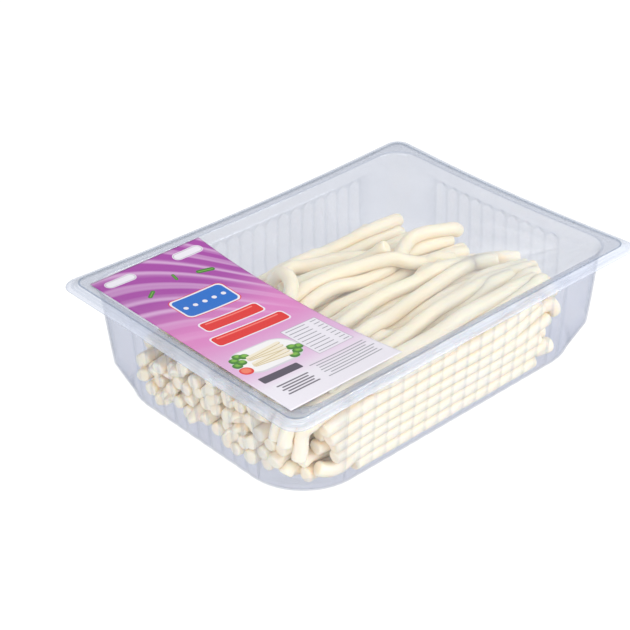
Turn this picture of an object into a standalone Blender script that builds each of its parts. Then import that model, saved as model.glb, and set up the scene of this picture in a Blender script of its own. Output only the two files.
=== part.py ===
"""A sealed clear tray of string cheese: a fluted thermoformed tray, its film lid, a paper label and the cheese.

Metres, +Z up. X runs along the tray's long side. The origin is on the floor, under the middle of the tray.
"""

import math

import bmesh
import bpy
import numpy as np

# The tray's rim: a flat land that the film is sealed to, and a lip that slopes down from it all round.
RIM_LENGTH = 0.325
RIM_WIDTH = 0.240
RIM_CORNER = 0.012
LAND_HEIGHT = 0.0820
LIP_WIDTH = 0.0065
LIP_DROP = 0.0025

# The tray's walls: a slight draft down to a knee, below which the corners are cut back to a rounder floor.
SHEET = 0.0009
MOUTH_INSET = 0.0128
MOUTH_HEIGHT = 0.0765
MOUTH_CORNER = 0.023
DRAFT = math.tan(math.radians(4.85))
KNEE_HEIGHT = 0.0216
KNEE_CORNER = 0.0213
FLOOR_CORNER = 0.0458
FLOOR_EDGE = 0.0063

# Upright flutes stiffen the walls. They bulge outwards and meet in narrow valleys.
FLUTE_PITCH = 0.0122
FLUTES_LONG = 17
FLUTES_SHORT = 10
FLUTE_DEPTH = 0.0013
FLUTE_TOP = 0.0715
FLUTE_FULL = 0.0670
FLUTE_CREST = 0.30
FLUTE_CREST_DEPTH = 0.1
FLUTE_MARGIN = 0.0010
PLAIN_STEPS = 4

# The rounding where the wall turns out into the land, and how much less the corners of the land and lip round.
MOUTH_ROUND = 0.0014
MOUTH_ROUND_DROP = 0.0016
LAND_CORNER_LESS = 0.0020
LIP_CORNER_LESS = 0.0030
LIP_STEPS = 2
LIP_STEP_RISE = 0.20

# The shrunk film draws the sides of the rim inwards, most of all at the back and at the right end.
BOW_FRONT = 0.0010
BOW_BACK = 0.0052
BOW_LEFT = 0.0
BOW_RIGHT = 0.0049
BOW_START = 0.030

# The film and the label on it sag towards the middle of the tray.
GAP = 0.0003
FILM = 0.0004
FILM_SAG = 0.0080
LABEL = 0.0002
LABEL_LEFT = -0.1500
LABEL_RIGHT = -0.0560
LABEL_FRONT = -0.1030
LABEL_BACK = 0.1005
LABEL_ACROSS = 6
LABEL_ALONG = 10
LABEL_NEAR_X = 0.004
LABEL_NEAR_Y = 0.006

# The film's rings of vertices stand these insets in from the edge of the rim.
FILM_INSETS = (LIP_WIDTH + 0.0002, MOUTH_INSET + 0.0004, 0.026, 0.054, 0.092)
FILM_CORNER = 0.009
FILM_INNER_CORNER = 0.006
FILM_LIP = 0.0010

# The cheese: round strands as long as the tray, heaped higher at the front than at the back.
STRANDS = 98
STRAND_RADIUS = 0.0053
STRAND_SPREAD = 0.0004
NESTING = 0.90
HEAP_LEFT = -0.1430
HEAP_RIGHT = 0.1320
FRONT_END_SLOPE = 0.45
BACK_END_SLOPE = 0.10
LANE_LIMIT = 0.1010
HEAP_HALF_WIDTH = 0.103
HEAP_FRONT_TOP = 0.0735
HEAP_BACK_TOP = 0.0270
HEAP_TOP_CURVE = 1.10
LEFT_TOP_PLACES = (0.020, 0.045, 0.080, 0.100)
LEFT_TOP_HEIGHTS = (0.076, 0.058, 0.024, 0.020)
LANES = 41
LANE_HALF = 0.004
LEVEL_FROM = -0.09
LEVEL_TO = 0.08
SHORTEST_PATH = 30
CELL = 0.0020
SAMPLE = 0.0050
END_SAMPLES = 5
CLEARANCE = 0.0012
STIFFNESS = 0.011
GIVE = 0.0010
SEED = 7

# How a strand in the bulk varies: its uneven ends, its slight arch, turn and wave, and the bend of the front
# ones towards the front at their right end. Low strands stop short of the tray's cut-back corners, and at the
# front some start further in, so that those above hang over them.
CORNER_LEVEL = 0.045
CORNER_START = 0.8
CORNER_END = 0.5
START_UNEVEN = 0.007
LOW_START_UNEVEN = 0.014
END_UNEVEN = 0.018
FRONT_SHORT = 0.020
FRONT_SHORT_LANES = (0.040, 0.085)
FRONT_SHORT_LEVELS = (0.012, 0.050)
FRONT_END_LESS = 0.008
FRONT_END_LANE = -0.030
END_SLOPE_LANES = (-0.080, 0.0)
WALL_FREEDOM = 0.15
WALL_REACH = (0.004, 0.045)
ARCH = 0.003
ARCH_UNEVEN = 0.005
TURN = 0.06
WAVE = 0.0016
WAVE_LENGTH = 0.022
WAVE_UNEVEN = 0.012
BEND = 0.016
BEND_REACH = (0.050, 0.125)
BEND_LANE = -0.055
BEND_WIDTH = 0.030

# A strand shows where this share of it is open to the top, or where it lies this near to a long wall.
OPEN_SHARE = 0.22
OPEN_DEPTH = 0.0012
WALL_NEAR = 0.0022
LEFT_COVER = 1.2
RIGHT_COVER = 0.3
SHOWN_SIDES = 6
STUB_SIDES = 5
TUBE_TOLERANCE = 0.0012

# The block under the strands that show.
CORE_COLUMNS = 16
CORE_ROWS = 12
CORE_LEFT_INSET = 0.026
CORE_RIGHT_INSET = 0.040
CORE_HALF_WIDTH = 0.0930
CORE_NEAR = 0.006
CORE_END_UNEVEN = 0.012

# Plan points of the strands that lie across the top of the heap, each from left to right.
TOP_STRANDS = (
    ((-0.120, 0.082), (-0.022, 0.086), (0.030, 0.083), (0.064, 0.086), (0.095, 0.080), (0.126, 0.079)),
    ((-0.064, 0.006), (-0.010, 0.018), (0.050, 0.012), (0.085, 0.026), (0.126, 0.018)),
    ((-0.110, -0.090), (-0.050, -0.078), (0.020, -0.070), (0.070, -0.072), (0.098, -0.082)),
    ((-0.110, -0.064), (-0.050, -0.057), (0.030, -0.042), (0.080, -0.046), (0.106, -0.060)),
    ((-0.110, -0.042), (-0.050, -0.034), (0.010, -0.026), (0.055, -0.034), (0.088, -0.054)),
    ((-0.090, 0.006), (-0.045, 0.020), (-0.005, 0.028), (0.030, 0.018), (0.060, 0.000), (0.090, -0.018)),
    ((-0.034, 0.034), (-0.010, 0.054), (0.014, 0.051), (0.036, 0.034), (0.050, 0.014)),
    ((-0.062, 0.002), (-0.034, 0.028), (-0.026, 0.052), (-0.010, 0.073), (0.012, 0.075), (0.036, 0.060),
     (0.062, 0.032)),
)


def clear_scene():
    for old in list(bpy.data.objects):
        bpy.data.objects.remove(old, do_unlink=True)


def material(name, colour, roughness, transmission=0.0, subsurface=0.0):
    made = bpy.data.materials.new(name)
    made.use_nodes = True
    shader = made.node_tree.nodes["Principled BSDF"]
    shader.inputs["Base Color"].default_value = (*colour, 1.0)
    shader.inputs["Roughness"].default_value = roughness
    shader.inputs["Metallic"].default_value = 0.0
    shader.inputs["Transmission Weight"].default_value = transmission
    shader.inputs["Subsurface Weight"].default_value = subsurface
    return made


def add_object(name, bm, finish):
    mesh = bpy.data.meshes.new(name)
    bm.to_mesh(mesh)
    bm.free()
    obj = bpy.data.objects.new(name, mesh)
    bpy.context.scene.collection.objects.link(obj)
    mesh.materials.append(finish)
    mesh.shade_smooth()
    mesh.set_sharp_from_angle(angle=math.radians(35))
    return obj


def smooth_step(low, high, value):
    share = np.clip((value - low) / (high - low), 0.0, 1.0)
    return share * share * (3.0 - 2.0 * share)


def bowed(x, y, z):
    """Draws a point of the rim or the wall inwards, as the tight film does."""
    pull = smooth_step(BOW_START, MOUTH_HEIGHT, z)
    along_x = 1.0 - (2.0 * x / RIM_LENGTH) ** 2
    along_y = 1.0 - (2.0 * y / RIM_WIDTH) ** 2
    side_x = 2.0 * x / RIM_LENGTH
    side_y = 2.0 * y / RIM_WIDTH
    bow_x = BOW_RIGHT if x > 0.0 else BOW_LEFT
    bow_y = BOW_BACK if y > 0.0 else BOW_FRONT
    return x - bow_x * side_x * along_y * pull, y - bow_y * side_y * along_x * pull, z


def wall_inset(z):
    """How far the outside of the wall stands in from the edge of the rim at a height."""
    return MOUTH_INSET + (MOUTH_HEIGHT - z) * DRAFT


def corner_radius(z):
    """The wall's corner radius: nearly even above the knee, and growing towards the floor below it."""
    return np.interp(z, (FLOOR_EDGE, KNEE_HEIGHT, MOUTH_HEIGHT), (FLOOR_CORNER, KNEE_CORNER, MOUTH_CORNER))


def side_stations(half, side, style):
    """Places along one side, each with how far it stands in a flute's valley.

    The styles are plain, even (a place at each valley, but flat) and fluted.
    """
    if style == "plain":
        return [(-half + 2.0 * half * step / PLAIN_STEPS, 0.0) for step in range(PLAIN_STEPS + 1)]
    flutes = FLUTES_LONG if side % 2 == 0 else FLUTES_SHORT
    start = -0.5 * flutes * FLUTE_PITCH
    end = max(half, FLUTE_MARGIN - start)
    stations = [(-end, 0.0)]
    for flute in range(flutes):
        left = start + flute * FLUTE_PITCH
        if style == "even":
            stations.append((left, 0.0))
        else:
            stations.append((left, 1.0))
            stations.append((left + FLUTE_CREST * FLUTE_PITCH, FLUTE_CREST_DEPTH))
            stations.append((left + (1.0 - FLUTE_CREST) * FLUTE_PITCH, FLUTE_CREST_DEPTH))
    stations += [(-start, 1.0 if style == "fluted" else 0.0), (end, 0.0)]
    return stations


def ring(bm, inset, radius, z, style="plain", corner_steps=6):
    """One rounded rectangle of vertices, each with its place around the ring, in quarters of the way round."""
    half_x = RIM_LENGTH / 2 - inset
    half_y = RIM_WIDTH / 2 - inset
    found = []
    for side in range(4):
        turn = side * math.pi / 2
        along = (round(math.cos(turn)), round(math.sin(turn)))
        out = (along[1], -along[0])
        lengths = (RIM_LENGTH, RIM_WIDTH) if side % 2 == 0 else (RIM_WIDTH, RIM_LENGTH)
        reach, width = (half_y, half_x) if side % 2 == 0 else (half_x, half_y)
        half = width - radius
        stations = side_stations(half, side, style)
        for place, valley in stations:
            over = max(abs(place) - half, 0.0)
            depth = reach - radius + math.sqrt(radius ** 2 - over ** 2) - FLUTE_DEPTH * valley
            x = along[0] * place + out[0] * depth
            y = along[1] * place + out[1] * depth
            found.append((side + place / lengths[0], bm.verts.new(bowed(x, y, z))))
        next_stations = side_stations(reach - radius, side + 1, style)
        first_angle = math.asin((stations[-1][0] - half) / radius)
        last_angle = math.pi / 2 - math.asin((next_stations[-1][0] - (reach - radius)) / radius)
        first_place = side + stations[-1][0] / lengths[0]
        last_place = side + 1 - next_stations[-1][0] / lengths[1]
        centre_x = along[0] * half + out[0] * (reach - radius)
        centre_y = along[1] * half + out[1] * (reach - radius)
        for step in range(1, corner_steps):
            share = step / corner_steps
            angle = turn - math.pi / 2 + first_angle + (last_angle - first_angle) * share
            x = centre_x + radius * math.cos(angle)
            y = centre_y + radius * math.sin(angle)
            place = first_place + (last_place - first_place) * share
            found.append((place, bm.verts.new(bowed(x, y, z))))
    return found


def bridge(bm, lower, upper):
    """Joins two rings: one to one where they are alike, and otherwise each vertex to its nearest in place."""
    if len(lower) == len(upper):
        for (_, a), (_, b), (_, c), (_, d) in zip(lower, lower[1:] + lower[:1], upper[1:] + upper[:1], upper):
            bm.faces.new((a, b, c, d))
        return
    low_places = [place for place, _ in lower] + [lower[0][0] + 4.0, 9.0]
    high_places = [place for place, _ in upper] + [upper[0][0] + 4.0, 9.0]
    low, high = 0, 0
    while low < len(lower) or high < len(upper):
        a, b = lower[low % len(lower)][1], upper[high % len(upper)][1]
        if low_places[low + 1] + low_places[low] < high_places[high + 1] + high_places[high]:
            bm.faces.new((a, lower[(low + 1) % len(lower)][1], b))
            low += 1
        else:
            bm.faces.new((a, upper[(high + 1) % len(upper)][1], b))
            high += 1


def make_tray():
    """The tray as one sheet, its outer face from the floor out to the lip, thickened inwards."""
    bm = bmesh.new()
    land_under = LAND_HEIGHT - SHEET
    land_inner = wall_inset(land_under) - MOUTH_ROUND
    profile = [
        (wall_inset(FLOOR_EDGE) + FLOOR_EDGE, FLOOR_CORNER - 0.6 * FLOOR_EDGE, 0.0, "plain"),
        (wall_inset(FLOOR_EDGE) + 0.30 * FLOOR_EDGE, FLOOR_CORNER, 0.28 * FLOOR_EDGE, "even"),
        (wall_inset(FLOOR_EDGE), FLOOR_CORNER, FLOOR_EDGE, "fluted"),
        (wall_inset(KNEE_HEIGHT), corner_radius(KNEE_HEIGHT), KNEE_HEIGHT, "fluted"),
        (wall_inset(FLUTE_FULL), corner_radius(FLUTE_FULL), FLUTE_FULL, "fluted"),
        (wall_inset(FLUTE_TOP), MOUTH_CORNER, FLUTE_TOP, "even"),
        (wall_inset(land_under) + 0.0001, MOUTH_CORNER, land_under - MOUTH_ROUND_DROP, "plain"),
        (land_inner, MOUTH_CORNER - LAND_CORNER_LESS, land_under, "plain"),
        (LIP_WIDTH, RIM_CORNER - LIP_CORNER_LESS, land_under, "plain"),
    ]
    for step in range(1, LIP_STEPS + 1):
        share = step / LIP_STEPS
        drop = LIP_DROP * (share - LIP_STEP_RISE * (step % 2))
        radius = RIM_CORNER - LIP_CORNER_LESS * (1.0 - share)
        profile.append((LIP_WIDTH * (1.0 - share), radius, land_under - drop, "plain"))
    rings = [ring(bm, inset, radius, z, style) for inset, radius, z, style in profile]
    for lower, upper in zip(rings, rings[1:]):
        bridge(bm, lower, upper)
    bm.faces.new([vertex for _, vertex in reversed(rings[0])])
    tray = add_object("tray", bm, material("clear_tray", (0.80, 0.84, 0.90), 0.08, transmission=0.9))
    thick = tray.modifiers.new("sheet", "SOLIDIFY")
    thick.thickness = SHEET
    thick.offset = -1.0
    return tray


def film_height(x, y):
    """The underside of the film, level on the land and sagging inside it."""
    along_x = 1.0 - (2.0 * x / RIM_LENGTH) ** 2
    along_y = 1.0 - (2.0 * y / RIM_WIDTH) ** 2
    half_x = RIM_LENGTH / 2 - MOUTH_INSET - FILM_LIP
    half_y = RIM_WIDTH / 2 - MOUTH_INSET - FILM_LIP
    half_x = half_x * (1.0 - 2.0 * np.where(x > 0.0, BOW_RIGHT, BOW_LEFT) * along_y / RIM_LENGTH)
    half_y = half_y * (1.0 - 2.0 * np.where(y > 0.0, BOW_BACK, BOW_FRONT) * along_x / RIM_WIDTH)
    across_x = np.clip(1.0 - (x / half_x) ** 2, 0.0, 1.0)
    across_y = np.clip(1.0 - (y / half_y) ** 2, 0.0, 1.0)
    return LAND_HEIGHT + GAP - FILM_SAG * across_x ** 0.7 * across_y ** 0.9


def make_film():
    """The film as one sheet from the land's outer edge to the middle, thickened upwards."""
    bm = bmesh.new()
    rings = [ring(bm, FILM_INSETS[0], FILM_CORNER, MOUTH_HEIGHT, corner_steps=4)]
    for inset in FILM_INSETS[1:]:
        inner_radius = MOUTH_CORNER - (inset - MOUTH_INSET)
        radius = max(RIM_CORNER - LIP_CORNER_LESS, inner_radius, FILM_INNER_CORNER)
        rings.append(ring(bm, inset, radius, MOUTH_HEIGHT, corner_steps=4))
    for inner, outer in zip(rings[1:], rings):
        bridge(bm, inner, outer)
    bm.faces.new([vertex for _, vertex in reversed(rings[-1])])
    for vertex in bm.verts:
        vertex.co.z = float(film_height(vertex.co.x, vertex.co.y))
    bmesh.ops.triangulate(bm, faces=bm.faces[:])
    film = add_object("film_lid", bm, material("clear_film", (0.88, 0.90, 0.94), 0.05, transmission=0.95))
    thick = film.modifiers.new("sheet", "SOLIDIFY")
    thick.thickness = FILM
    thick.offset = -1.0
    return film


def make_label():
    """The printed label, stuck across the film at the tray's left end."""
    bm = bmesh.new()
    rows = []
    for i in range(LABEL_ACROSS + 1):
        x = LABEL_LEFT + (LABEL_RIGHT - LABEL_LEFT) * i / LABEL_ACROSS
        row = []
        for j in range(LABEL_ALONG + 1):
            y = LABEL_FRONT + (LABEL_BACK - LABEL_FRONT) * j / LABEL_ALONG
            near_x = (x - LABEL_NEAR_X, x, x + LABEL_NEAR_X)
            near_y = (y - LABEL_NEAR_Y, y, y + LABEL_NEAR_Y)
            highest = max(float(film_height(a, b)) for a in near_x for b in near_y)
            row.append(bm.verts.new((x, y, highest + FILM + 3.0 * GAP)))
        rows.append(row)
    for left, right in zip(rows, rows[1:]):
        for j in range(LABEL_ALONG):
            bm.faces.new((left[j], left[j + 1], right[j + 1], right[j]))
    label = add_object("label", bm, material("printed_label", (0.68, 0.32, 0.58), 0.35))
    thick = label.modifiers.new("paper", "SOLIDIFY")
    thick.thickness = LABEL
    thick.offset = -1.0
    return label


def room(x, y, z):
    """Half the length and half the width that the walls leave free at points, and the corner radius there."""
    depth = SHEET + FLUTE_DEPTH + CLEARANCE
    inset = wall_inset(np.minimum(z, MOUTH_HEIGHT)) + depth
    pull = smooth_step(BOW_START, MOUTH_HEIGHT, z)
    half_x = RIM_LENGTH / 2 - inset - pull * np.where(x > 0.0, BOW_RIGHT, BOW_LEFT)
    half_y = RIM_WIDTH / 2 - inset - pull * np.where(y > 0.0, BOW_BACK, BOW_FRONT)
    return half_x, half_y, corner_radius(z) - depth


def kept_inside(x, y, z, margin):
    """Moves points in from the walls and the rounded corners, to stand a margin clear of them."""
    half_x, half_y, radius = room(x, y, z - 0.8 * margin)
    half_x, half_y, radius = half_x - margin, half_y - margin, radius - margin
    x, y = np.clip(x, -half_x, half_x), np.clip(y, -half_y, half_y)
    over_x = np.maximum(np.abs(x) - (half_x - radius), 0.0)
    over_y = np.maximum(np.abs(y) - (half_y - radius), 0.0)
    shrink = np.minimum(radius / np.maximum(np.hypot(over_x, over_y), 1e-6), 1.0)
    return x - np.sign(x) * over_x * (1.0 - shrink), y - np.sign(y) * over_y * (1.0 - shrink)


def inside_tray(x, y, z, margin):
    """Whether the points lie inside the tray's rounded rectangle at one height, kept clear by a margin."""
    radius = corner_radius(z)
    half_x = RIM_LENGTH / 2 - wall_inset(z) - margin
    half_y = RIM_WIDTH / 2 - wall_inset(z) - margin
    radius = max(radius - margin, 0.001)
    far_x = np.maximum(np.abs(x) - (half_x - radius), 0.0)
    far_y = np.maximum(np.abs(y) - (half_y - radius), 0.0)
    return np.hypot(far_x, far_y) < radius


class Heap:
    """A height map of the tray's inside, on which strands come to rest one after another."""

    def __init__(self):
        self.left = -RIM_LENGTH / 2
        self.front = -RIM_WIDTH / 2
        columns = round(RIM_LENGTH / CELL) + 1
        rows = round(RIM_WIDTH / CELL) + 1
        x = self.left + CELL * np.arange(columns)[:, None] + np.zeros((1, rows))
        y = self.front + CELL * np.arange(rows)[None, :] + np.zeros((columns, 1))
        self.height = np.full((columns, rows), SHEET + GAP + (1.0 - NESTING) * STRAND_RADIUS)
        # The cut-back corners lift what lies in them.
        for z in np.arange(0.002, KNEE_HEIGHT + 0.002, 0.002):
            outside = ~inside_tray(x, y, z, SHEET + CLEARANCE)
            near = inside_tray(x, y, KNEE_HEIGHT, 0.0)
            self.height[outside & near] = np.maximum(self.height[outside & near], z)
        self.strands = []

    def cells(self, x, y):
        i = np.clip(np.rint((x - self.left) / CELL).astype(int), 0, self.height.shape[0] - 1)
        j = np.clip(np.rint((y - self.front) / CELL).astype(int), 0, self.height.shape[1] - 1)
        return i, j

    def footprint(self, radius):
        reach = np.arange(-radius, radius + CELL / 2, CELL)
        off_x, off_y = (grid.ravel() for grid in np.meshgrid(reach, reach))
        near = off_x ** 2 + off_y ** 2 < radius ** 2
        off_x, off_y = off_x[near], off_y[near]
        return off_x, off_y, NESTING * np.sqrt(radius ** 2 - off_x ** 2 - off_y ** 2)

    def rest(self, x, y, radius):
        """The height of the strand's middle line where it first touches what is under it."""
        off_x, off_y, rise = self.footprint(radius)
        i, j = self.cells(x[:, None] + off_x, y[:, None] + off_y)
        return (self.height[i, j] + rise).max(axis=1)

    def level(self, lane):
        """How high the heap stands so far along a lane."""
        i, j = self.cells(np.array([LEVEL_FROM, LEVEL_TO]), np.array([lane - LANE_HALF, lane + LANE_HALF]))
        return float(np.median(self.height[i[0]:i[1], j[0]:j[1] + 1]))

    def settle(self, plan, radius):
        """Keeps plan points clear of the walls and gives the height at which each comes to rest."""
        x, y = plan[:, 0], plan[:, 1]
        for _ in range(2):
            x, y = kept_inside(x, y, self.rest(x, y, radius), radius)
        return x, y, self.rest(x, y, radius)

    def drape(self, plan, radius):
        """Lays a strand along plan points and gives its middle line, under the film and clear of the walls."""
        x, y, touch = self.settle(plan, radius)
        step = max(np.hypot(np.diff(x), np.diff(y)).mean(), 1e-4)
        reach = int(3 * STIFFNESS / step)
        weights = np.exp(-0.5 * (np.arange(-reach, reach + 1) * step / STIFFNESS) ** 2)
        padded = np.pad(touch, reach, mode="edge")
        soft = np.convolve(padded, weights / weights.sum(), mode="valid")
        z = np.minimum(np.maximum(soft, touch - GIVE), film_height(x, y) - radius - 3.0 * GAP)
        return np.stack([x, y, z], axis=1)

    def lay(self, path, radius):
        """Adds a strand to the height map."""
        length = np.concatenate([[0.0], np.cumsum(np.linalg.norm(np.diff(path, axis=0), axis=1))])
        fine = np.arange(0.0, length[-1], CELL * 0.7)
        x, y, z = (np.interp(fine, length, path[:, axis]) for axis in range(3))
        off_x, off_y, rise = self.footprint(radius)
        i, j = self.cells(x[:, None] + off_x, y[:, None] + off_y)
        np.maximum.at(self.height, (i, j), z[:, None] + rise)
        self.strands.append((path, radius))


def heap_top(y):
    """The height that the heap is filled to, falling from the front wall to the back wall."""
    share = np.clip((y + HEAP_HALF_WIDTH) / (2.0 * HEAP_HALF_WIDTH), 0.0, 1.0)
    return HEAP_FRONT_TOP + (HEAP_BACK_TOP - HEAP_FRONT_TOP) * share ** HEAP_TOP_CURVE


def left_top(y):
    """How high the heap may stand at its left end: it falls away towards the back."""
    return np.interp(y, LEFT_TOP_PLACES, LEFT_TOP_HEIGHTS)


def strand_plan(lane, level, draws):
    """The plan of one strand in the bulk of the heap: along X, slightly arched, its ends uneven.

    Low strands stop short of the tray's cut-back corners, and the upper ones hang over their ends.
    """
    low = np.clip(1.0 - level / CORNER_LEVEL, 0.0, 1.0)
    in_corner = min(max(abs(lane) - (LANE_LIMIT - FLOOR_CORNER), 0.0), FLOOR_CORNER)
    corner = FLOOR_CORNER - math.sqrt(FLOOR_CORNER ** 2 - in_corner ** 2)
    mid_level = FRONT_SHORT_LEVELS[0] < level < FRONT_SHORT_LEVELS[1]
    start = HEAP_LEFT + START_UNEVEN * draws[0] + FRONT_SHORT * smooth_step(*FRONT_SHORT_LANES, -lane) * mid_level
    start += (LOW_START_UNEVEN * draws[0] + CORNER_START * corner) * low
    slope = np.interp(lane, END_SLOPE_LANES, (FRONT_END_SLOPE, BACK_END_SLOPE))
    end = HEAP_RIGHT - slope * level - END_UNEVEN * draws[1]
    end -= CORNER_END * corner * low + FRONT_END_LESS * (lane < FRONT_END_LANE)
    x = np.arange(start, end, SAMPLE)
    middle = 0.5 * (start + end)
    free = WALL_FREEDOM + (1.0 - WALL_FREEDOM) * smooth_step(*WALL_REACH, LANE_LIMIT - abs(lane))
    arch = (ARCH + ARCH_UNEVEN * draws[2]) * free * (1.0 - ((x - middle) / (0.5 * (end - start))) ** 2)
    turn = TURN * (draws[3] - 0.5) * free * (x - middle)
    wave = WAVE * free * np.sin(x / (WAVE_LENGTH + WAVE_UNEVEN * draws[4]) + 2.0 * math.pi * draws[5])
    bend = BEND * smooth_step(*BEND_REACH, x) * math.exp(-((lane - BEND_LANE) / BEND_WIDTH) ** 2)
    return np.stack([x, lane + arch + turn + wave - bend], axis=1)


def through(points):
    """A smooth plan curve through a few points, sampled evenly."""
    points = np.array(points)
    knots = np.concatenate([[0.0], np.cumsum(np.linalg.norm(np.diff(points, axis=0), axis=1))])
    slopes = np.gradient(points, knots, axis=0)
    places = np.arange(0.0, knots[-1], SAMPLE)
    found = []
    for place in places:
        k = min(int(np.searchsorted(knots, place, side="right")) - 1, len(knots) - 2)
        span = knots[k + 1] - knots[k]
        t = (place - knots[k]) / span
        found.append(
            (2 * t ** 3 - 3 * t ** 2 + 1) * points[k]
            + (t ** 3 - 2 * t ** 2 + t) * span * slopes[k]
            + (3 * t ** 2 - 2 * t ** 3) * points[k + 1]
            + (t ** 3 - t ** 2) * span * slopes[k + 1]
        )
    return np.array(found)


def fill_heap():
    """Lays strand after strand in the lane that is furthest below the heap's top, and the top ones last."""
    heap = Heap()
    random = np.random.default_rng(SEED)
    for _ in range(STRANDS - len(TOP_STRANDS)):
        radius = STRAND_RADIUS + STRAND_SPREAD * float(np.clip(random.normal(), -1.5, 1.5))
        draws = random.random(6)
        best = None
        for lane in np.linspace(-LANE_LIMIT, LANE_LIMIT, LANES):
            plan = strand_plan(lane, heap.level(lane), draws)
            _, y, touch = heap.settle(plan[::3], radius)
            excess = float(np.mean(touch + radius - heap_top(y)))
            if best is None or excess < best[0]:
                best = (excess, plan)
        path = heap.drape(best[1], radius)
        while path[0, 2] > left_top(path[0, 1]) and len(path) > SHORTEST_PATH:
            path = path[1:]
        heap.lay(path, radius)
    for points in TOP_STRANDS:
        heap.lay(heap.drape(through(points), STRAND_RADIUS), STRAND_RADIUS)
    return heap


def end_shows(heap, path, radius, cover):
    """Whether the first end of a path is open to the side, with no other strand hanging in front of it.

    A strand in front counts where it stands higher than the end by more than the cover, in radii.
    """
    outward = path[0] - path[2]
    outward = outward / np.linalg.norm(outward)
    beyond = path[0] + 1.6 * radius * outward
    i, j = heap.cells(beyond[:1], beyond[1:2])
    return heap.height[i[0], j[0]] < path[0, 2] + cover * radius


def shown_lengths(heap):
    """The strands that show, whole, and of each of the others the ends that show.

    A strand shows where it is open to the top for some of its length, or lies against a long wall.
    """
    shown = []
    for path, radius in heap.strands:
        i, j = heap.cells(path[:, 0], path[:, 1])
        open_share = np.mean(path[:, 2] + radius > heap.height[i, j] - OPEN_DEPTH)
        _, half_y, _ = room(*path.T)
        against_wall = np.median(half_y - radius - np.abs(path[:, 1])) < WALL_NEAR
        if open_share > OPEN_SHARE or against_wall:
            shown.append((path, radius, SHOWN_SIDES))
            continue
        if end_shows(heap, path, radius, LEFT_COVER):
            shown.append((path[:END_SAMPLES], radius, STUB_SIDES))
        if end_shows(heap, path[::-1], radius, RIGHT_COVER):
            shown.append((path[-END_SAMPLES:], radius, STUB_SIDES))
    return shown


def bending_points(path, tolerance):
    """The fewest points of a path that keep straight lines between them within a tolerance of it."""
    kept = [0, len(path) - 1]
    spans = [(0, len(path) - 1)]
    while spans:
        first, last = spans.pop()
        if last - first < 2:
            continue
        chord = path[last] - path[first]
        chord = chord / np.linalg.norm(chord)
        off = path[first:last] - path[first]
        away = np.linalg.norm(off - (off @ chord)[:, None] * chord, axis=1)
        middle = int(np.argmax(away))
        if away[middle] > tolerance:
            kept.append(first + middle)
            spans += [(first, first + middle), (first + middle, last)]
    return sorted(kept)


def tube(bm, path, radius, sides):
    """A closed round tube along a path, with flat ends."""
    picks = bending_points(path, TUBE_TOLERANCE)
    points = path[picks]
    tangents = np.gradient(points, axis=0)
    tangents /= np.linalg.norm(tangents, axis=1)[:, None]
    loops = []
    for point, tangent in zip(points, tangents):
        across = np.cross(tangent, (0.0, 0.0, 1.0))
        across /= np.linalg.norm(across)
        up = np.cross(across, tangent)
        turns = [2.0 * math.pi * (k + 0.5) / sides for k in range(sides)]
        loops.append([bm.verts.new(point + radius * (math.cos(a) * across + math.sin(a) * up)) for a in turns])
    for first, second in zip(loops, loops[1:]):
        for k in range(sides):
            bm.faces.new((first[k], second[k], second[(k + 1) % sides], first[(k + 1) % sides]))
    bm.faces.new(loops[0])
    bm.faces.new(list(reversed(loops[-1])))
    bmesh.ops.recalc_face_normals(bm, faces=bm.faces[:])


def make_core(heap):
    """The plain block under the strands that show: half a strand lower and smaller than the heap all round."""
    bm = bmesh.new()
    columns, rows = CORE_COLUMNS, CORE_ROWS
    left, right = HEAP_LEFT + CORE_LEFT_INSET, HEAP_RIGHT - CORE_RIGHT_INSET
    floor = STRAND_RADIUS + SHEET + GAP
    spread = int(CORE_NEAR / CELL)
    random = np.random.default_rng(SEED)
    upper, lower = [], []
    for i in range(columns + 1):
        upper.append([])
        lower.append([])
        for j in range(rows + 1):
            x = left + (right - left) * i / columns
            y = -CORE_HALF_WIDTH + 2.0 * CORE_HALF_WIDTH * j / rows
            a, b = heap.cells(x, y)
            near = heap.height[max(a - spread, 0):a + spread + 1, max(b - spread, 0):b + spread + 1]
            top = max(float(np.median(near)) - STRAND_RADIUS, floor + CELL)
            for z, row in ((top, upper[i]), (floor, lower[i])):
                uneven = CORE_END_UNEVEN * float(random.random()) * ((i == 0) - (i == columns))
                row.append(bm.verts.new((*kept_inside(x + uneven, y, z, GAP), z)))
    for i in range(columns):
        for j in range(rows):
            bm.faces.new((upper[i][j], upper[i + 1][j], upper[i + 1][j + 1], upper[i][j + 1]))
    border = [(i, 0) for i in range(columns)] + [(columns, j) for j in range(rows)]
    border += [(columns - i, rows) for i in range(columns)] + [(0, rows - j) for j in range(rows)]
    for (i, j), (k, m) in zip(border, border[1:] + border[:1]):
        bm.faces.new((lower[i][j], lower[k][m], upper[k][m], upper[i][j]))
    bm.faces.new([lower[i][j] for i, j in reversed(border)])
    used = {vertex for face in bm.faces for vertex in face.verts}
    bmesh.ops.delete(bm, geom=[vertex for vertex in bm.verts if vertex not in used], context="VERTS")
    bmesh.ops.triangulate(bm, faces=bm.faces[:])
    bmesh.ops.recalc_face_normals(bm, faces=bm.faces[:])
    return bm


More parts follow.
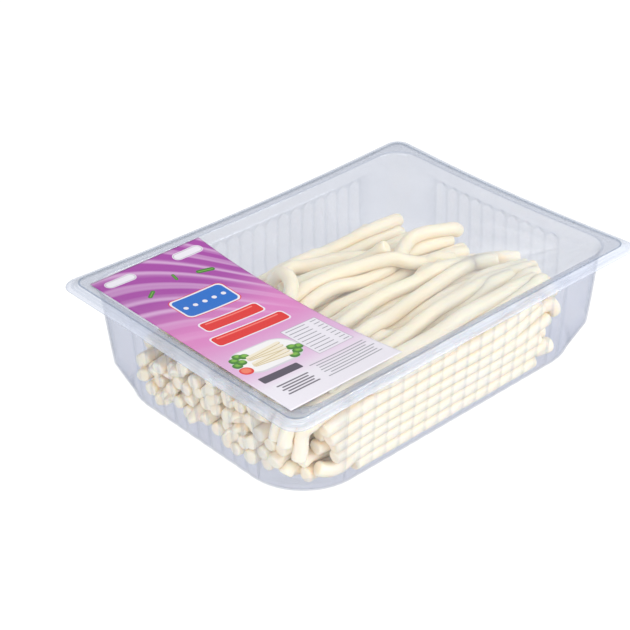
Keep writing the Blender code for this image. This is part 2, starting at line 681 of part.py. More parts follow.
def keep_largest(mesh):
    """Drops loose scraps and sealed hollows: every island of faces but the one with the most area."""
    bm = bmesh.new()
    bm.from_mesh(mesh)
    bmesh.ops.triangulate(bm, faces=bm.faces[:])
    bmesh.ops.dissolve_degenerate(bm, dist=0.000001, edges=bm.edges[:])
    waiting = set(bm.faces)
    islands = []
    while waiting:
        island = set()
        edge = [waiting.pop()]
        while edge:
            face = edge.pop()
            island.add(face)
            for border in face.edges:
                for other in border.link_faces:
                    if other in waiting:
                        waiting.discard(other)
                        edge.append(other)
        islands.append(island)
    largest = max(islands, key=lambda faces: sum(face.calc_area() for face in faces))
    scraps = [face for island in islands if island is not largest for face in island]
    bmesh.ops.delete(bm, geom=scraps, context="FACES")
    loose = [vertex for vertex in bm.verts if not vertex.link_faces]
    bmesh.ops.delete(bm, geom=loose, context="VERTS")
    bm.to_mesh(mesh)
    bm.free()


def make_cheese():
    """The heap of strands: a core with the strands that show fused to it."""
    heap = fill_heap()
    finish = material("string_cheese", (0.93, 0.87, 0.72), 0.45, subsurface=0.3)
    cheese = add_object("cheese", make_core(heap), finish)
    pieces = bpy.data.collections.new("strands")
    bpy.context.scene.collection.children.link(pieces)
    for number, (path, radius, sides) in enumerate(shown_lengths(heap)):
        bm = bmesh.new()
        tube(bm, path, radius, sides)
        mesh = bpy.data.meshes.new(f"strand_{number}")
        bm.to_mesh(mesh)
        bm.free()
        pieces.objects.link(bpy.data.objects.new(mesh.name, mesh))
    fuse = cheese.modifiers.new("fuse", "BOOLEAN")
    fuse.operation = "UNION"
    fuse.solver = "MANIFOLD"
    fuse.operand_type = "COLLECTION"
    fuse.collection = pieces
    graph = bpy.context.evaluated_depsgraph_get()
    fused = bpy.data.meshes.new_from_object(cheese.evaluated_get(graph))
    cheese.modifiers.remove(fuse)
    cheese.data = fused
    for piece in list(pieces.objects):
        bpy.data.objects.remove(piece, do_unlink=True)
    bpy.data.collections.remove(pieces)
    keep_largest(fused)
    fused.materials.clear()
    fused.materials.append(finish)
    fused.shade_smooth()
    fused.set_sharp_from_angle(angle=math.radians(50))
    return cheese


clear_scene()
make_tray()
make_film()
make_label()
make_cheese()
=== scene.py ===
"""A sealed clear tray of string cheese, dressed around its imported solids. Metres, +Z up."""

import math

import bpy
import numpy as np
from mathutils import Matrix, Vector
from mathutils.kdtree import KDTree


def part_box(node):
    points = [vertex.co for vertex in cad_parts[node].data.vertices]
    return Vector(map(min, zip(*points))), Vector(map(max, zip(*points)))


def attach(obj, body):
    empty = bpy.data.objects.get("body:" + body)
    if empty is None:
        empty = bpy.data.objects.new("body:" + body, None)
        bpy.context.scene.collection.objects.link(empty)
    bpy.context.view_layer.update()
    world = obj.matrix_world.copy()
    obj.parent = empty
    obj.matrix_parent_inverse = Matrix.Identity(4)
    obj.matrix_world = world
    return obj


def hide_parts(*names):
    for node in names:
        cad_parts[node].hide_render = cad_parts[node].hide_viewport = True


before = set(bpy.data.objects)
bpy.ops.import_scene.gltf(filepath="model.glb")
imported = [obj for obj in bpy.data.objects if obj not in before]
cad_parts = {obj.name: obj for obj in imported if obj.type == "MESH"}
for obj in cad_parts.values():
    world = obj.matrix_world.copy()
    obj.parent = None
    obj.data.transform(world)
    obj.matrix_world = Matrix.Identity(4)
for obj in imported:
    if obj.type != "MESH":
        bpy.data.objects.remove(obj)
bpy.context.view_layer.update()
for leftover in [thing for thing in bpy.data.objects if thing.type in ("LIGHT", "CAMERA")]:
    bpy.data.objects.remove(leftover)


# The tray is one sheet of clear plastic drawn into a mould: upright flutes stiffen its walls, the corners are
# cut back below a knee, and a stepped rim runs round the mouth. The tight film draws the rim's sides inwards.
_, tray_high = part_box("tray")
RIM_LENGTH = 0.325
RIM_WIDTH = 0.240
RIM_CORNER = 0.012
LAND_HEIGHT = tray_high.z
SHEET = 0.0009
LIP_WIDTH = 0.0065
MOUTH_INSET = 0.0128
MOUTH_HEIGHT = 0.0765
MOUTH_CORNER = 0.023
DRAFT = math.tan(math.radians(4.85))
KNEE_HEIGHT = 0.0216
KNEE_CORNER = 0.0213
FLOOR_CORNER = 0.0458
FLOOR_EDGE = 0.0063
FLUTE_PITCH = 0.0122
FLUTES_LONG = 17
FLUTES_SHORT = 10
FLUTE_DEPTH = 0.0013
FLUTE_ARCH_LOW = 0.0655
FLUTE_ARCH_TOP = 0.0710
FLUTE_STEPS = 10
FLUTE_SHARPNESS = 1.5
FLUTE_LEAD = 0.0012
LEAST_LEAD = 0.002
ARCH_ROUNDNESS = 0.6
ARCH_FADE = 0.003
BOW_FRONT = 0.0010
BOW_BACK = 0.0052
BOW_LEFT = 0.0
BOW_RIGHT = 0.0049
BOW_START = 0.030


def smooth_step(low, high, value):
    share = np.clip((value - low) / (high - low), 0.0, 1.0)
    return share * share * (3.0 - 2.0 * share)


def bowed(x, y, z):
    """Draws points of the rim or the wall inwards, as the tight film does."""
    pull = smooth_step(BOW_START, MOUTH_HEIGHT, z)
    along_x = 1.0 - (2.0 * x / RIM_LENGTH) ** 2
    along_y = 1.0 - (2.0 * y / RIM_WIDTH) ** 2
    bow_x = np.where(x > 0.0, BOW_RIGHT, BOW_LEFT)
    bow_y = np.where(y > 0.0, BOW_BACK, BOW_FRONT)
    moved_x = x - bow_x * 2.0 * x / RIM_LENGTH * along_y * pull
    moved_y = y - bow_y * 2.0 * y / RIM_WIDTH * along_x * pull
    return moved_x, moved_y


def wall_inset(z):
    """How far the outside of the wall stands in from the edge of the rim at a height."""
    return MOUTH_INSET + (MOUTH_HEIGHT - z) * DRAFT


def corner_radius(z):
    return np.interp(z, (FLOOR_EDGE, KNEE_HEIGHT, MOUTH_HEIGHT), (FLOOR_CORNER, KNEE_CORNER, MOUTH_CORNER))


def side_places(flutes, half):
    """Places along one side, close together over the flutes, and how far through its flute each one is."""
    start = -0.5 * flutes * FLUTE_PITCH
    share = np.arange(flutes * FLUTE_STEPS + 1) / FLUTE_STEPS
    lead = np.array([-max(half, -start + LEAST_LEAD), start - FLUTE_LEAD])
    places = np.concatenate([lead, start + share * FLUTE_PITCH, -lead[::-1]])
    through_flute = np.concatenate([np.zeros(2), share % 1.0, np.zeros(2)])
    return places, through_flute


def wall_ring(inset, radius, z, fluted=0.0, corner_steps=10):
    """One rounded rectangle of points at a height, and how deep in a flute's valley each one lies, 0 to 1."""
    half_x, half_y = RIM_LENGTH / 2 - inset, RIM_WIDTH / 2 - inset
    spots, valleys = [], []
    for side in range(4):
        turn = side * math.pi / 2
        along = np.array((round(math.cos(turn)), round(math.sin(turn))))
        out = np.array((along[1], -along[0]))
        reach, width = (half_y, half_x) if side % 2 == 0 else (half_x, half_y)
        flutes, next_flutes = (FLUTES_LONG, FLUTES_SHORT) if side % 2 == 0 else (FLUTES_SHORT, FLUTES_LONG)
        half, next_half = width - radius, reach - radius
        places, share = side_places(flutes, half)
        valley = (1.0 - np.sin(math.pi * share)) ** FLUTE_SHARPNESS
        arch = FLUTE_ARCH_LOW + (FLUTE_ARCH_TOP - FLUTE_ARCH_LOW) * np.sin(math.pi * share) ** ARCH_ROUNDNESS
        valley = np.where(z > arch, smooth_step(FLUTE_ARCH_TOP + ARCH_FADE, FLUTE_ARCH_TOP, z), valley)
        valley = valley * (np.abs(places) <= 0.5 * flutes * FLUTE_PITCH + 1e-6) * fluted
        over = np.maximum(np.abs(places) - half, 0.0)
        depth = next_half + np.sqrt(np.maximum(radius ** 2 - over ** 2, 0.0)) - FLUTE_DEPTH * valley
        spots.append(places[:, None] * along + depth[:, None] * out)
        valleys.append(valley)
        next_places, _ = side_places(next_flutes, next_half)
        first = math.asin(min((places[-1] - half) / radius, 1.0))
        last = math.pi / 2 - math.asin(min((next_places[-1] - next_half) / radius, 1.0))
        angle = turn - math.pi / 2 + first + (last - first) * np.arange(1, corner_steps) / corner_steps
        centre = along * half + out * next_half
        spots.append(centre + radius * np.stack([np.cos(angle), np.sin(angle)], axis=1))
        valleys.append(np.zeros(len(angle)))
    spots = np.concatenate(spots)
    x, y = bowed(spots[:, 0], spots[:, 1], z)
    return np.stack([x, y, np.full(len(x), z)], axis=1), np.concatenate(valleys)


def skin(name, rings, closed_floor):
    """A mesh whose rings of points are joined one to one, the first ring closed by a floor if asked."""
    count = len(rings[0])
    faces = []
    for level in range(len(rings) - 1):
        a = level * count + np.arange(count)
        b = level * count + (np.arange(count) + 1) % count
        faces += np.stack([a, b, b + count, a + count], axis=1).tolist()
    if closed_floor:
        faces.append(list(range(count))[::-1])
    mesh = bpy.data.meshes.new(name)
    mesh.from_pydata(np.concatenate(rings).tolist(), [], faces)
    mesh.shade_smooth()
    made = bpy.data.objects.new(name, mesh)
    bpy.context.scene.collection.objects.link(made)
    return made


def store(mesh, name, values):
    """Keeps one number for each point of a mesh, for its material to read."""
    mesh.attributes.new(name, "FLOAT", "POINT").data.foreach_set("value", np.asarray(values, np.float32))


def add(tree, kind, inputs=None, **settings):
    """A node with its settings, its sockets linked to others or set to values."""
    node = tree.nodes.new(kind)
    for key, value in settings.items():
        setattr(node, key, value)
    for key, value in (inputs or {}).items():
        if isinstance(value, bpy.types.NodeSocket):
            tree.links.new(value, node.inputs[key])
        else:
            node.inputs[key].default_value = value
    return node


def new_material(name):
    made = bpy.data.materials.new(name)
    made.use_nodes = True
    made.node_tree.nodes.clear()
    return made, made.node_tree


def math_node(tree, operation, a, b=0.0, clamp=False):
    return add(tree, "ShaderNodeMath", {0: a, 1: b}, operation=operation, use_clamp=clamp).outputs[0]


def blend_colour(tree, share, a, b):
    return add(tree, "ShaderNodeMix", {0: share, 6: a, 7: b}, data_type="RGBA").outputs[2]


GRAZING_DENSITY = 4.0
GRAZING_MILK = 0.10
# The haze given to the painted dark lines.
PAINTED_LINE_MILK = 0.08
HAZE_UNEVEN = 0.5
GLOSS_RISE = 5.0
GLOSS_GRAZING = 0.60
GLOSS_FACING = 0.025


def clear_plastic(name, tint, dense_and_painted_line_tint, haze, veil, roughness):
    """Clear plastic: what is behind it shows tinted, over it lie a little milk-white haze and a sharp gloss.

    It is denser where it is seen at a grazing angle, and darker and milkier along painted dark lines that the
    sheet's own value gives. Its milk value adds to the haze: real milk on the tray's rim, a painted
    reflection on the film.
    """
    made, tree = new_material(name)
    facing = add(tree, "ShaderNodeLayerWeight", {"Blend": 0.50}).outputs["Facing"]
    # One value holds real milk on the tray's rim and a painted reflection on the film, the other painted dark
    # lines.
    milk_and_painted_reflection = add(tree, "ShaderNodeAttribute", attribute_name="milk_and_painted_reflection").outputs["Fac"]
    painted_lines = add(tree, "ShaderNodeAttribute", attribute_name="painted_lines").outputs["Fac"]
    depth = math_node(tree, "POWER", facing, GRAZING_DENSITY)
    milk = math_node(tree, "ADD", math_node(tree, "MULTIPLY", depth, GRAZING_MILK), haze)
    milk = math_node(tree, "ADD", milk, milk_and_painted_reflection)
    milk = math_node(tree, "ADD", milk, math_node(tree, "MULTIPLY", painted_lines, PAINTED_LINE_MILK))
    depth = math_node(tree, "ADD", depth, painted_lines, clamp=True)
    spot = add(tree, "ShaderNodeTexCoord").outputs["Object"]
    uneven = add(tree, "ShaderNodeTexNoise", {"Vector": spot, "Scale": 45.0, "Detail": 3.0}).outputs["Fac"]
    ripple = add(tree, "ShaderNodeBump", {"Height": uneven, "Strength": 0.06, "Distance": 0.002}).outputs[0]
    milk = math_node(tree, "MULTIPLY", milk, math_node(tree, "ADD", uneven, HAZE_UNEVEN), clamp=True)
    seen = blend_colour(tree, depth, (*tint, 1.0), (*dense_and_painted_line_tint, 1.0))
    clear = add(tree, "ShaderNodeBsdfTransparent", {"Color": seen}).outputs[0]
    gloss = add(tree, "ShaderNodeBsdfAnisotropic", {"Roughness": roughness, "Normal": ripple}).outputs[0]
    shine = math_node(tree, "MULTIPLY", math_node(tree, "POWER", facing, GLOSS_RISE), GLOSS_GRAZING)
    shine = math_node(tree, "ADD", shine, GLOSS_FACING)
    glass = add(tree, "ShaderNodeMixShader", {0: shine, 1: clear, 2: gloss}).outputs[0]
    cloud = add(tree, "ShaderNodeBsdfPrincipled", {"Base Color": (*veil, 1.0), "Roughness": 0.35}).outputs[0]
    whole = add(tree, "ShaderNodeMixShader", {0: milk, 1: glass, 2: cloud}).outputs[0]
    add(tree, "ShaderNodeOutputMaterial", {"Surface": whole})
    return made


# The tray's profile from the floor's edge up to the lip's. Each row gives how far it stands in from the edge
# of the rim, its corner radius, its height and how deep its flutes are. The walls' rows lie close together at
# the knee and at the flutes' arched tops, and the last rows are the fine steps in the rim.
LAND_UNDER = LAND_HEIGHT - SHEET
FLOOR_TUCK = 0.6
FLOOR_ROUND_START = 0.12
FLOOR_ROUND_ROWS = 8
WALL_HEIGHTS = (0.0100, 0.0140, 0.0180, 0.0206, 0.0216, 0.0226, 0.0260, 0.0340, 0.0430, 0.0520, 0.0600,
                0.0640, 0.0655, 0.0665, 0.0675, 0.0685, 0.0692, 0.0699, 0.0705, 0.0710, 0.0718, 0.0726,
                0.0740, 0.0760)
tray_profile = [(wall_inset(FLOOR_EDGE) + FLOOR_EDGE, FLOOR_CORNER - FLOOR_TUCK * FLOOR_EDGE, 0.0, 0.0)]
for angle in np.linspace(FLOOR_ROUND_START, math.pi / 2, FLOOR_ROUND_ROWS):
    round_in = FLOOR_EDGE * (1.0 - math.sin(angle))
    lift = FLOOR_EDGE * (1.0 - math.cos(angle))
    tray_profile.append((wall_inset(FLOOR_EDGE) + round_in, FLOOR_CORNER - FLOOR_TUCK * round_in, lift,
                         smooth_step(0.0, FLOOR_EDGE, lift)))
for height in WALL_HEIGHTS:
    tray_profile.append((wall_inset(height), corner_radius(height), height, 1.0))
tray_profile += [
    (wall_inset(0.0790), MOUTH_CORNER, 0.0790, 0.0),
    (wall_inset(0.0803) - 0.0001, MOUTH_CORNER, 0.0803, 0.0),
    (wall_inset(0.0808) - 0.0005, MOUTH_CORNER - 0.0005, 0.0808, 0.0),
    (wall_inset(0.0811) - 0.0014, MOUTH_CORNER - 0.0020, LAND_UNDER, 0.0),
    (0.0072, RIM_CORNER - 0.0030, LAND_UNDER, 0.0),
    (0.0067, RIM_CORNER - 0.0030, LAND_UNDER - 0.0001, 0.0),
    (0.0063, RIM_CORNER - 0.0028, LAND_UNDER - 0.0009, 0.0),
    (0.0046, RIM_CORNER - 0.0022, LAND_UNDER - 0.0010, 0.0),
    (0.0042, RIM_CORNER - 0.0020, LAND_UNDER - 0.0016, 0.0),
    (0.0024, RIM_CORNER - 0.0012, LAND_UNDER - 0.0017, 0.0),
    (0.0012, RIM_CORNER - 0.0006, LAND_UNDER - 0.0019, 0.0),
    (0.0007, RIM_CORNER - 0.0004, LAND_UNDER - 0.0022, 0.0),
    (0.0005, RIM_CORNER - 0.0002, LAND_UNDER - 0.0025, 0.0),
]
made_rings = [wall_ring(*row) for row in tray_profile]
tray = skin("tray_sheet", [points for points, _ in made_rings], closed_floor=True)
# The flutes' valleys and the rim's steps get painted dark lines, standing in for light bent by the curved
# sheet.
VALLEY_PAINTED_LINE = 0.26
VALLEY_NARROWNESS = 6
STEP_PAINTED_LINE = 0.8
STEP_ROWS = (-11, -7, -5, -1)
painted_line_marks = [VALLEY_PAINTED_LINE * valley ** VALLEY_NARROWNESS for _, valley in made_rings]
for row in STEP_ROWS:
    painted_line_marks[row] = np.full(len(painted_line_marks[row]), STEP_PAINTED_LINE)
store(tray.data, "painted_lines", np.concatenate(painted_line_marks))
# The rim is drawn least, so it is the thickest and the milkiest.
RIM_ROWS = 10
RIM_MILK = 0.30
milk_and_painted_reflection = [np.full(len(points), RIM_MILK * (row >= len(made_rings) - RIM_ROWS))
         for row, (points, _) in enumerate(made_rings)]
store(tray.data, "milk_and_painted_reflection", np.concatenate(milk_and_painted_reflection))
wall = tray.modifiers.new("sheet", "SOLIDIFY")
wall.thickness = SHEET
wall.offset = -1.0
TRAY_TINT = (0.885, 0.894, 0.928)
# The denser tint also colours the painted dark lines.
TRAY_DENSE_AND_PAINTED_LINE_TINT = (0.69, 0.72, 0.79)
TRAY_HAZE = 0.009
TRAY_VEIL = (0.59, 0.615, 0.665)
TRAY_ROUGHNESS = 0.05
tray.data.materials.append(clear_plastic("clear_tray_sheet", TRAY_TINT, TRAY_DENSE_AND_PAINTED_LINE_TINT, TRAY_HAZE, TRAY_VEIL,
                                         TRAY_ROUGHNESS))
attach(tray, "root")
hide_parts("tray")


# The cheese is about a hundred pulled strands, most of them nearly as long as the tray's inside, and heaped
# higher at the front. Each is laid where the heap is lowest so far, comes to rest on those below it and bends
# over them, as strands laid in by hand do.
GAP = 0.0003
FILM_SAG = 0.0080
STRANDS = 98
STRAND_RADIUS = 0.0053
STRAND_SPREAD = 0.0004
NESTING = 0.90
HEAP_LEFT = -0.1430
HEAP_RIGHT = 0.1320
FRONT_END_SLOPE = 0.45
BACK_END_SLOPE = 0.10
LANE_LIMIT = 0.1010
HEAP_HALF_WIDTH = 0.103
HEAP_FRONT_TOP = 0.0735
HEAP_BACK_TOP = 0.0270
HEAP_TOP_CURVE = 1.10
LEFT_TOP_PLACES = (0.020, 0.045, 0.080, 0.100)
LEFT_TOP_HEIGHTS = (0.076, 0.058, 0.024, 0.020)
LANES = 41
LANE_HALF = 0.004
LEVEL_FROM = -0.09
LEVEL_TO = 0.08
SHORTEST_PATH = 30
CELL = 0.0020
SAMPLE = 0.0050
LAY_SHARE = 0.7
CLEARANCE = 0.0012
WALL_CONTACT = 0.8
CORNER_LIFT = 0.002
STIFFNESS = 0.011
GIVE = 0.0010
SPREAD_LIMIT = 1.5
SEED = 7
# How a strand in the bulk varies: its uneven ends, its slight arch, turn and wave, and the bend of the front
# ones towards the front at their right end. Low strands stop short of the tray's cut-back corners, and at the
# front some start further in, so that those above hang over them.
CORNER_LEVEL = 0.045
CORNER_START = 0.8
CORNER_END = 0.5
START_UNEVEN = 0.007
LOW_START_UNEVEN = 0.014
END_UNEVEN = 0.018
FRONT_SHORT = 0.020
FRONT_SHORT_LANES = (0.040, 0.085)
FRONT_SHORT_LEVELS = (0.012, 0.050)
FRONT_END_LESS = 0.008
FRONT_END_LANE = -0.030
END_SLOPE_LANES = (-0.080, 0.0)
WALL_FREEDOM = 0.15
WALL_REACH = (0.004, 0.045)
ARCH = 0.003
ARCH_UNEVEN = 0.005
TURN = 0.06
WAVE = 0.0016
WAVE_LENGTH = 0.022
WAVE_UNEVEN = 0.012
BEND = 0.016
BEND_REACH = (0.050, 0.125)
BEND_LANE = -0.055
BEND_WIDTH = 0.030
# The strands on top are placed one by one: each row holds the plan points that one strand runs through.
TOP_STRANDS = (
    ((-0.120, 0.082), (-0.022, 0.086), (0.030, 0.083), (0.064, 0.086), (0.095, 0.080), (0.126, 0.079)),
    ((-0.064, 0.006), (-0.010, 0.018), (0.050, 0.012), (0.085, 0.026), (0.126, 0.018)),
    ((-0.110, -0.090), (-0.050, -0.078), (0.020, -0.070), (0.070, -0.072), (0.098, -0.082)),
    ((-0.110, -0.064), (-0.050, -0.057), (0.030, -0.042), (0.080, -0.046), (0.106, -0.060)),
    ((-0.110, -0.042), (-0.050, -0.034), (0.010, -0.026), (0.055, -0.034), (0.088, -0.054)),
    ((-0.090, 0.006), (-0.045, 0.020), (-0.005, 0.028), (0.030, 0.018), (0.060, 0.000), (0.090, -0.018)),
    ((-0.034, 0.034), (-0.010, 0.054), (0.014, 0.051), (0.036, 0.034), (0.050, 0.014)),
    ((-0.062, 0.002), (-0.034, 0.028), (-0.026, 0.052), (-0.010, 0.073), (0.012, 0.075), (0.036, 0.060),
     (0.062, 0.032)),
)


FILM_LIP = 0.0010
SAG_ALONG = 0.7
SAG_ACROSS = 0.9


def film_height(x, y):
    """The underside of the film, level on the rim's land and sagging inside it."""
    along_x = 1.0 - (2.0 * x / RIM_LENGTH) ** 2
    along_y = 1.0 - (2.0 * y / RIM_WIDTH) ** 2
    half_x = RIM_LENGTH / 2 - MOUTH_INSET - FILM_LIP
    half_y = RIM_WIDTH / 2 - MOUTH_INSET - FILM_LIP
    half_x = half_x * (1.0 - 2.0 * np.where(x > 0.0, BOW_RIGHT, BOW_LEFT) * along_y / RIM_LENGTH)
    half_y = half_y * (1.0 - 2.0 * np.where(y > 0.0, BOW_BACK, BOW_FRONT) * along_x / RIM_WIDTH)
    across_x = np.clip(1.0 - (x / half_x) ** 2, 0.0, 1.0)
    across_y = np.clip(1.0 - (y / half_y) ** 2, 0.0, 1.0)
    return LAND_HEIGHT + GAP - FILM_SAG * across_x ** SAG_ALONG * across_y ** SAG_ACROSS


def room(x, y, z):
    """Half the length and half the width that the walls leave free at points, and the corner radius there."""
    depth = SHEET + FLUTE_DEPTH + CLEARANCE
    inset = wall_inset(np.minimum(z, MOUTH_HEIGHT)) + depth
    pull = smooth_step(BOW_START, MOUTH_HEIGHT, z)
    half_x = RIM_LENGTH / 2 - inset - pull * np.where(x > 0.0, BOW_RIGHT, BOW_LEFT)
    half_y = RIM_WIDTH / 2 - inset - pull * np.where(y > 0.0, BOW_BACK, BOW_FRONT)
    return half_x, half_y, corner_radius(z) - depth


def kept_inside(x, y, z, margin):
    """Moves points in from the walls and the rounded corners, to stand a margin clear of them."""
    half_x, half_y, radius = room(x, y, z - WALL_CONTACT * margin)
    half_x, half_y, radius = half_x - margin, half_y - margin, radius - margin
    x, y = np.clip(x, -half_x, half_x), np.clip(y, -half_y, half_y)
    over_x = np.maximum(np.abs(x) - (half_x - radius), 0.0)
    over_y = np.maximum(np.abs(y) - (half_y - radius), 0.0)
    shrink = np.minimum(radius / np.maximum(np.hypot(over_x, over_y), 1e-6), 1.0)
    return x - np.sign(x) * over_x * (1.0 - shrink), y - np.sign(y) * over_y * (1.0 - shrink)


def inside_tray(x, y, z, margin):
    """Whether the points lie inside the tray's rounded rectangle at one height, kept clear by a margin."""
    radius = corner_radius(z)
    half_x = RIM_LENGTH / 2 - wall_inset(z) - margin
    half_y = RIM_WIDTH / 2 - wall_inset(z) - margin
    radius = max(radius - margin, 0.001)
    far_x = np.maximum(np.abs(x) - (half_x - radius), 0.0)
    far_y = np.maximum(np.abs(y) - (half_y - radius), 0.0)
    return np.hypot(far_x, far_y) < radius


def distances_along(points):
    """How far along a line each of its points lies."""
    return np.concatenate([[0.0], np.cumsum(np.linalg.norm(np.diff(points, axis=0), axis=1))])


class Heap:
    """A height map of the tray's inside, on which strands come to rest one after another."""

    def __init__(self):
        self.left = -RIM_LENGTH / 2
        self.front = -RIM_WIDTH / 2
        columns = round(RIM_LENGTH / CELL) + 1
        rows = round(RIM_WIDTH / CELL) + 1
        x = self.left + CELL * np.arange(columns)[:, None] + np.zeros((1, rows))
        y = self.front + CELL * np.arange(rows)[None, :] + np.zeros((columns, 1))
        self.height = np.full((columns, rows), SHEET + GAP + (1.0 - NESTING) * STRAND_RADIUS)
        # The cut-back corners lift what lies in them.
        for z in np.arange(CORNER_LIFT, KNEE_HEIGHT + CORNER_LIFT, CORNER_LIFT):
            outside = ~inside_tray(x, y, z, SHEET + CLEARANCE)
            near = inside_tray(x, y, KNEE_HEIGHT, 0.0)
            self.height[outside & near] = np.maximum(self.height[outside & near], z)
        self.strands = []

    def cells(self, x, y):
        i = np.clip(np.rint((x - self.left) / CELL).astype(int), 0, self.height.shape[0] - 1)
        j = np.clip(np.rint((y - self.front) / CELL).astype(int), 0, self.height.shape[1] - 1)
        return i, j

    def footprint(self, radius):
        reach = np.arange(-radius, radius + CELL / 2, CELL)
        off_x, off_y = (grid.ravel() for grid in np.meshgrid(reach, reach))
        near = off_x ** 2 + off_y ** 2 < radius ** 2
        off_x, off_y = off_x[near], off_y[near]
        return off_x, off_y, NESTING * np.sqrt(radius ** 2 - off_x ** 2 - off_y ** 2)

    def rest(self, x, y, radius):
        """The height of the strand's middle line where it first touches what is under it."""
        off_x, off_y, rise = self.footprint(radius)
        i, j = self.cells(x[:, None] + off_x, y[:, None] + off_y)
        return (self.height[i, j] + rise).max(axis=1)

    def level(self, lane):
        """How high the heap stands so far along a lane."""
        i, j = self.cells(np.array([LEVEL_FROM, LEVEL_TO]), np.array([lane - LANE_HALF, lane + LANE_HALF]))
        return float(np.median(self.height[i[0]:i[1], j[0]:j[1] + 1]))

    def settle(self, plan, radius):
        """Keeps plan points clear of the walls and gives the height at which each comes to rest."""
        x, y = plan[:, 0], plan[:, 1]
        for _ in range(2):
            x, y = kept_inside(x, y, self.rest(x, y, radius), radius)
        return x, y, self.rest(x, y, radius)

    def drape(self, plan, radius):
        """Gives the middle line of a strand that lies along plan points, under the film and in the walls."""
        x, y, touch = self.settle(plan, radius)
        step = max(np.hypot(np.diff(x), np.diff(y)).mean(), 1e-4)
        reach = int(3 * STIFFNESS / step)
        weights = np.exp(-0.5 * (np.arange(-reach, reach + 1) * step / STIFFNESS) ** 2)
        padded = np.pad(touch, reach, mode="edge")
        soft = np.convolve(padded, weights / weights.sum(), mode="valid")
        z = np.minimum(np.maximum(soft, touch - GIVE), film_height(x, y) - radius - 3.0 * GAP)
        return np.stack([x, y, z], axis=1)

    def lay(self, path, radius):
        """Adds a strand to the height map."""
        length = distances_along(path)
        fine = np.arange(0.0, length[-1], CELL * LAY_SHARE)
        x, y, z = (np.interp(fine, length, path[:, axis]) for axis in range(3))
        off_x, off_y, rise = self.footprint(radius)
        i, j = self.cells(x[:, None] + off_x, y[:, None] + off_y)
        np.maximum.at(self.height, (i, j), z[:, None] + rise)
        self.strands.append((path, radius))


def heap_top(y):
    """The height that the heap is filled to, falling from the front wall to the back wall."""
    share = np.clip((y + HEAP_HALF_WIDTH) / (2.0 * HEAP_HALF_WIDTH), 0.0, 1.0)
    return HEAP_FRONT_TOP + (HEAP_BACK_TOP - HEAP_FRONT_TOP) * share ** HEAP_TOP_CURVE


def left_top(y):
    """How high the heap may stand at its left end: it falls away towards the back."""
    return np.interp(y, LEFT_TOP_PLACES, LEFT_TOP_HEIGHTS)


def strand_plan(lane, level, draws):
    """The plan of one strand in the bulk of the heap: along X, slightly arched, its ends uneven."""
    low = np.clip(1.0 - level / CORNER_LEVEL, 0.0, 1.0)
    in_corner = min(max(abs(lane) - (LANE_LIMIT - FLOOR_CORNER), 0.0), FLOOR_CORNER)
    corner = FLOOR_CORNER - math.sqrt(FLOOR_CORNER ** 2 - in_corner ** 2)
    mid_level = FRONT_SHORT_LEVELS[0] < level < FRONT_SHORT_LEVELS[1]
    start = HEAP_LEFT + START_UNEVEN * draws[0]
    start += FRONT_SHORT * smooth_step(*FRONT_SHORT_LANES, -lane) * mid_level
    start += (LOW_START_UNEVEN * draws[0] + CORNER_START * corner) * low
    slope = np.interp(lane, END_SLOPE_LANES, (FRONT_END_SLOPE, BACK_END_SLOPE))
    end = HEAP_RIGHT - slope * level - END_UNEVEN * draws[1]
    end -= CORNER_END * corner * low + FRONT_END_LESS * (lane < FRONT_END_LANE)
    x = np.arange(start, end, SAMPLE)
    middle = 0.5 * (start + end)
    free = WALL_FREEDOM + (1.0 - WALL_FREEDOM) * smooth_step(*WALL_REACH, LANE_LIMIT - abs(lane))
    arch = (ARCH + ARCH_UNEVEN * draws[2]) * free * (1.0 - ((x - middle) / (0.5 * (end - start))) ** 2)
    turn = TURN * (draws[3] - 0.5) * free * (x - middle)
    wave = WAVE * free * np.sin(x / (WAVE_LENGTH + WAVE_UNEVEN * draws[4]) + 2.0 * math.pi * draws[5])
    bend = BEND * smooth_step(*BEND_REACH, x) * math.exp(-((lane - BEND_LANE) / BEND_WIDTH) ** 2)
    return np.stack([x, lane + arch + turn + wave - bend], axis=1)


def through(points, spacing=SAMPLE):
    """A smooth curve through a few points, sampled evenly."""
    points = np.array(points)
    knots = distances_along(points)
    slopes = np.gradient(points, knots, axis=0)
    places = np.arange(0.0, knots[-1], spacing)
    k = np.clip(np.searchsorted(knots, places, side="right") - 1, 0, len(knots) - 2)
    span = (knots[k + 1] - knots[k])[:, None]
    t = (places - knots[k])[:, None] / span
    return ((2 * t ** 3 - 3 * t ** 2 + 1) * points[k] + (t ** 3 - 2 * t ** 2 + t) * span * slopes[k]
            + (3 * t ** 2 - 2 * t ** 3) * points[k + 1] + (t ** 3 - t ** 2) * span * slopes[k + 1])


heap = Heap()
random = np.random.default_rng(SEED)
for _ in range(STRANDS - len(TOP_STRANDS)):
    radius = STRAND_RADIUS + STRAND_SPREAD * float(np.clip(random.normal(), -SPREAD_LIMIT, SPREAD_LIMIT))
    draws = random.random(6)
    best = None
    for lane in np.linspace(-LANE_LIMIT, LANE_LIMIT, LANES):
        plan = strand_plan(lane, heap.level(lane), draws)
        _, lane_y, touch = heap.settle(plan[::3], radius)
        excess = float(np.mean(touch + radius - heap_top(lane_y)))
        if best is None or excess < best[0]:
            best = (excess, plan)
    path = heap.drape(best[1], radius)
    while path[0, 2] > left_top(path[0, 1]) and len(path) > SHORTEST_PATH:
        path = path[1:]
    heap.lay(path, radius)
for points in TOP_STRANDS:
    heap.lay(heap.drape(through(points), STRAND_RADIUS), STRAND_RADIUS)

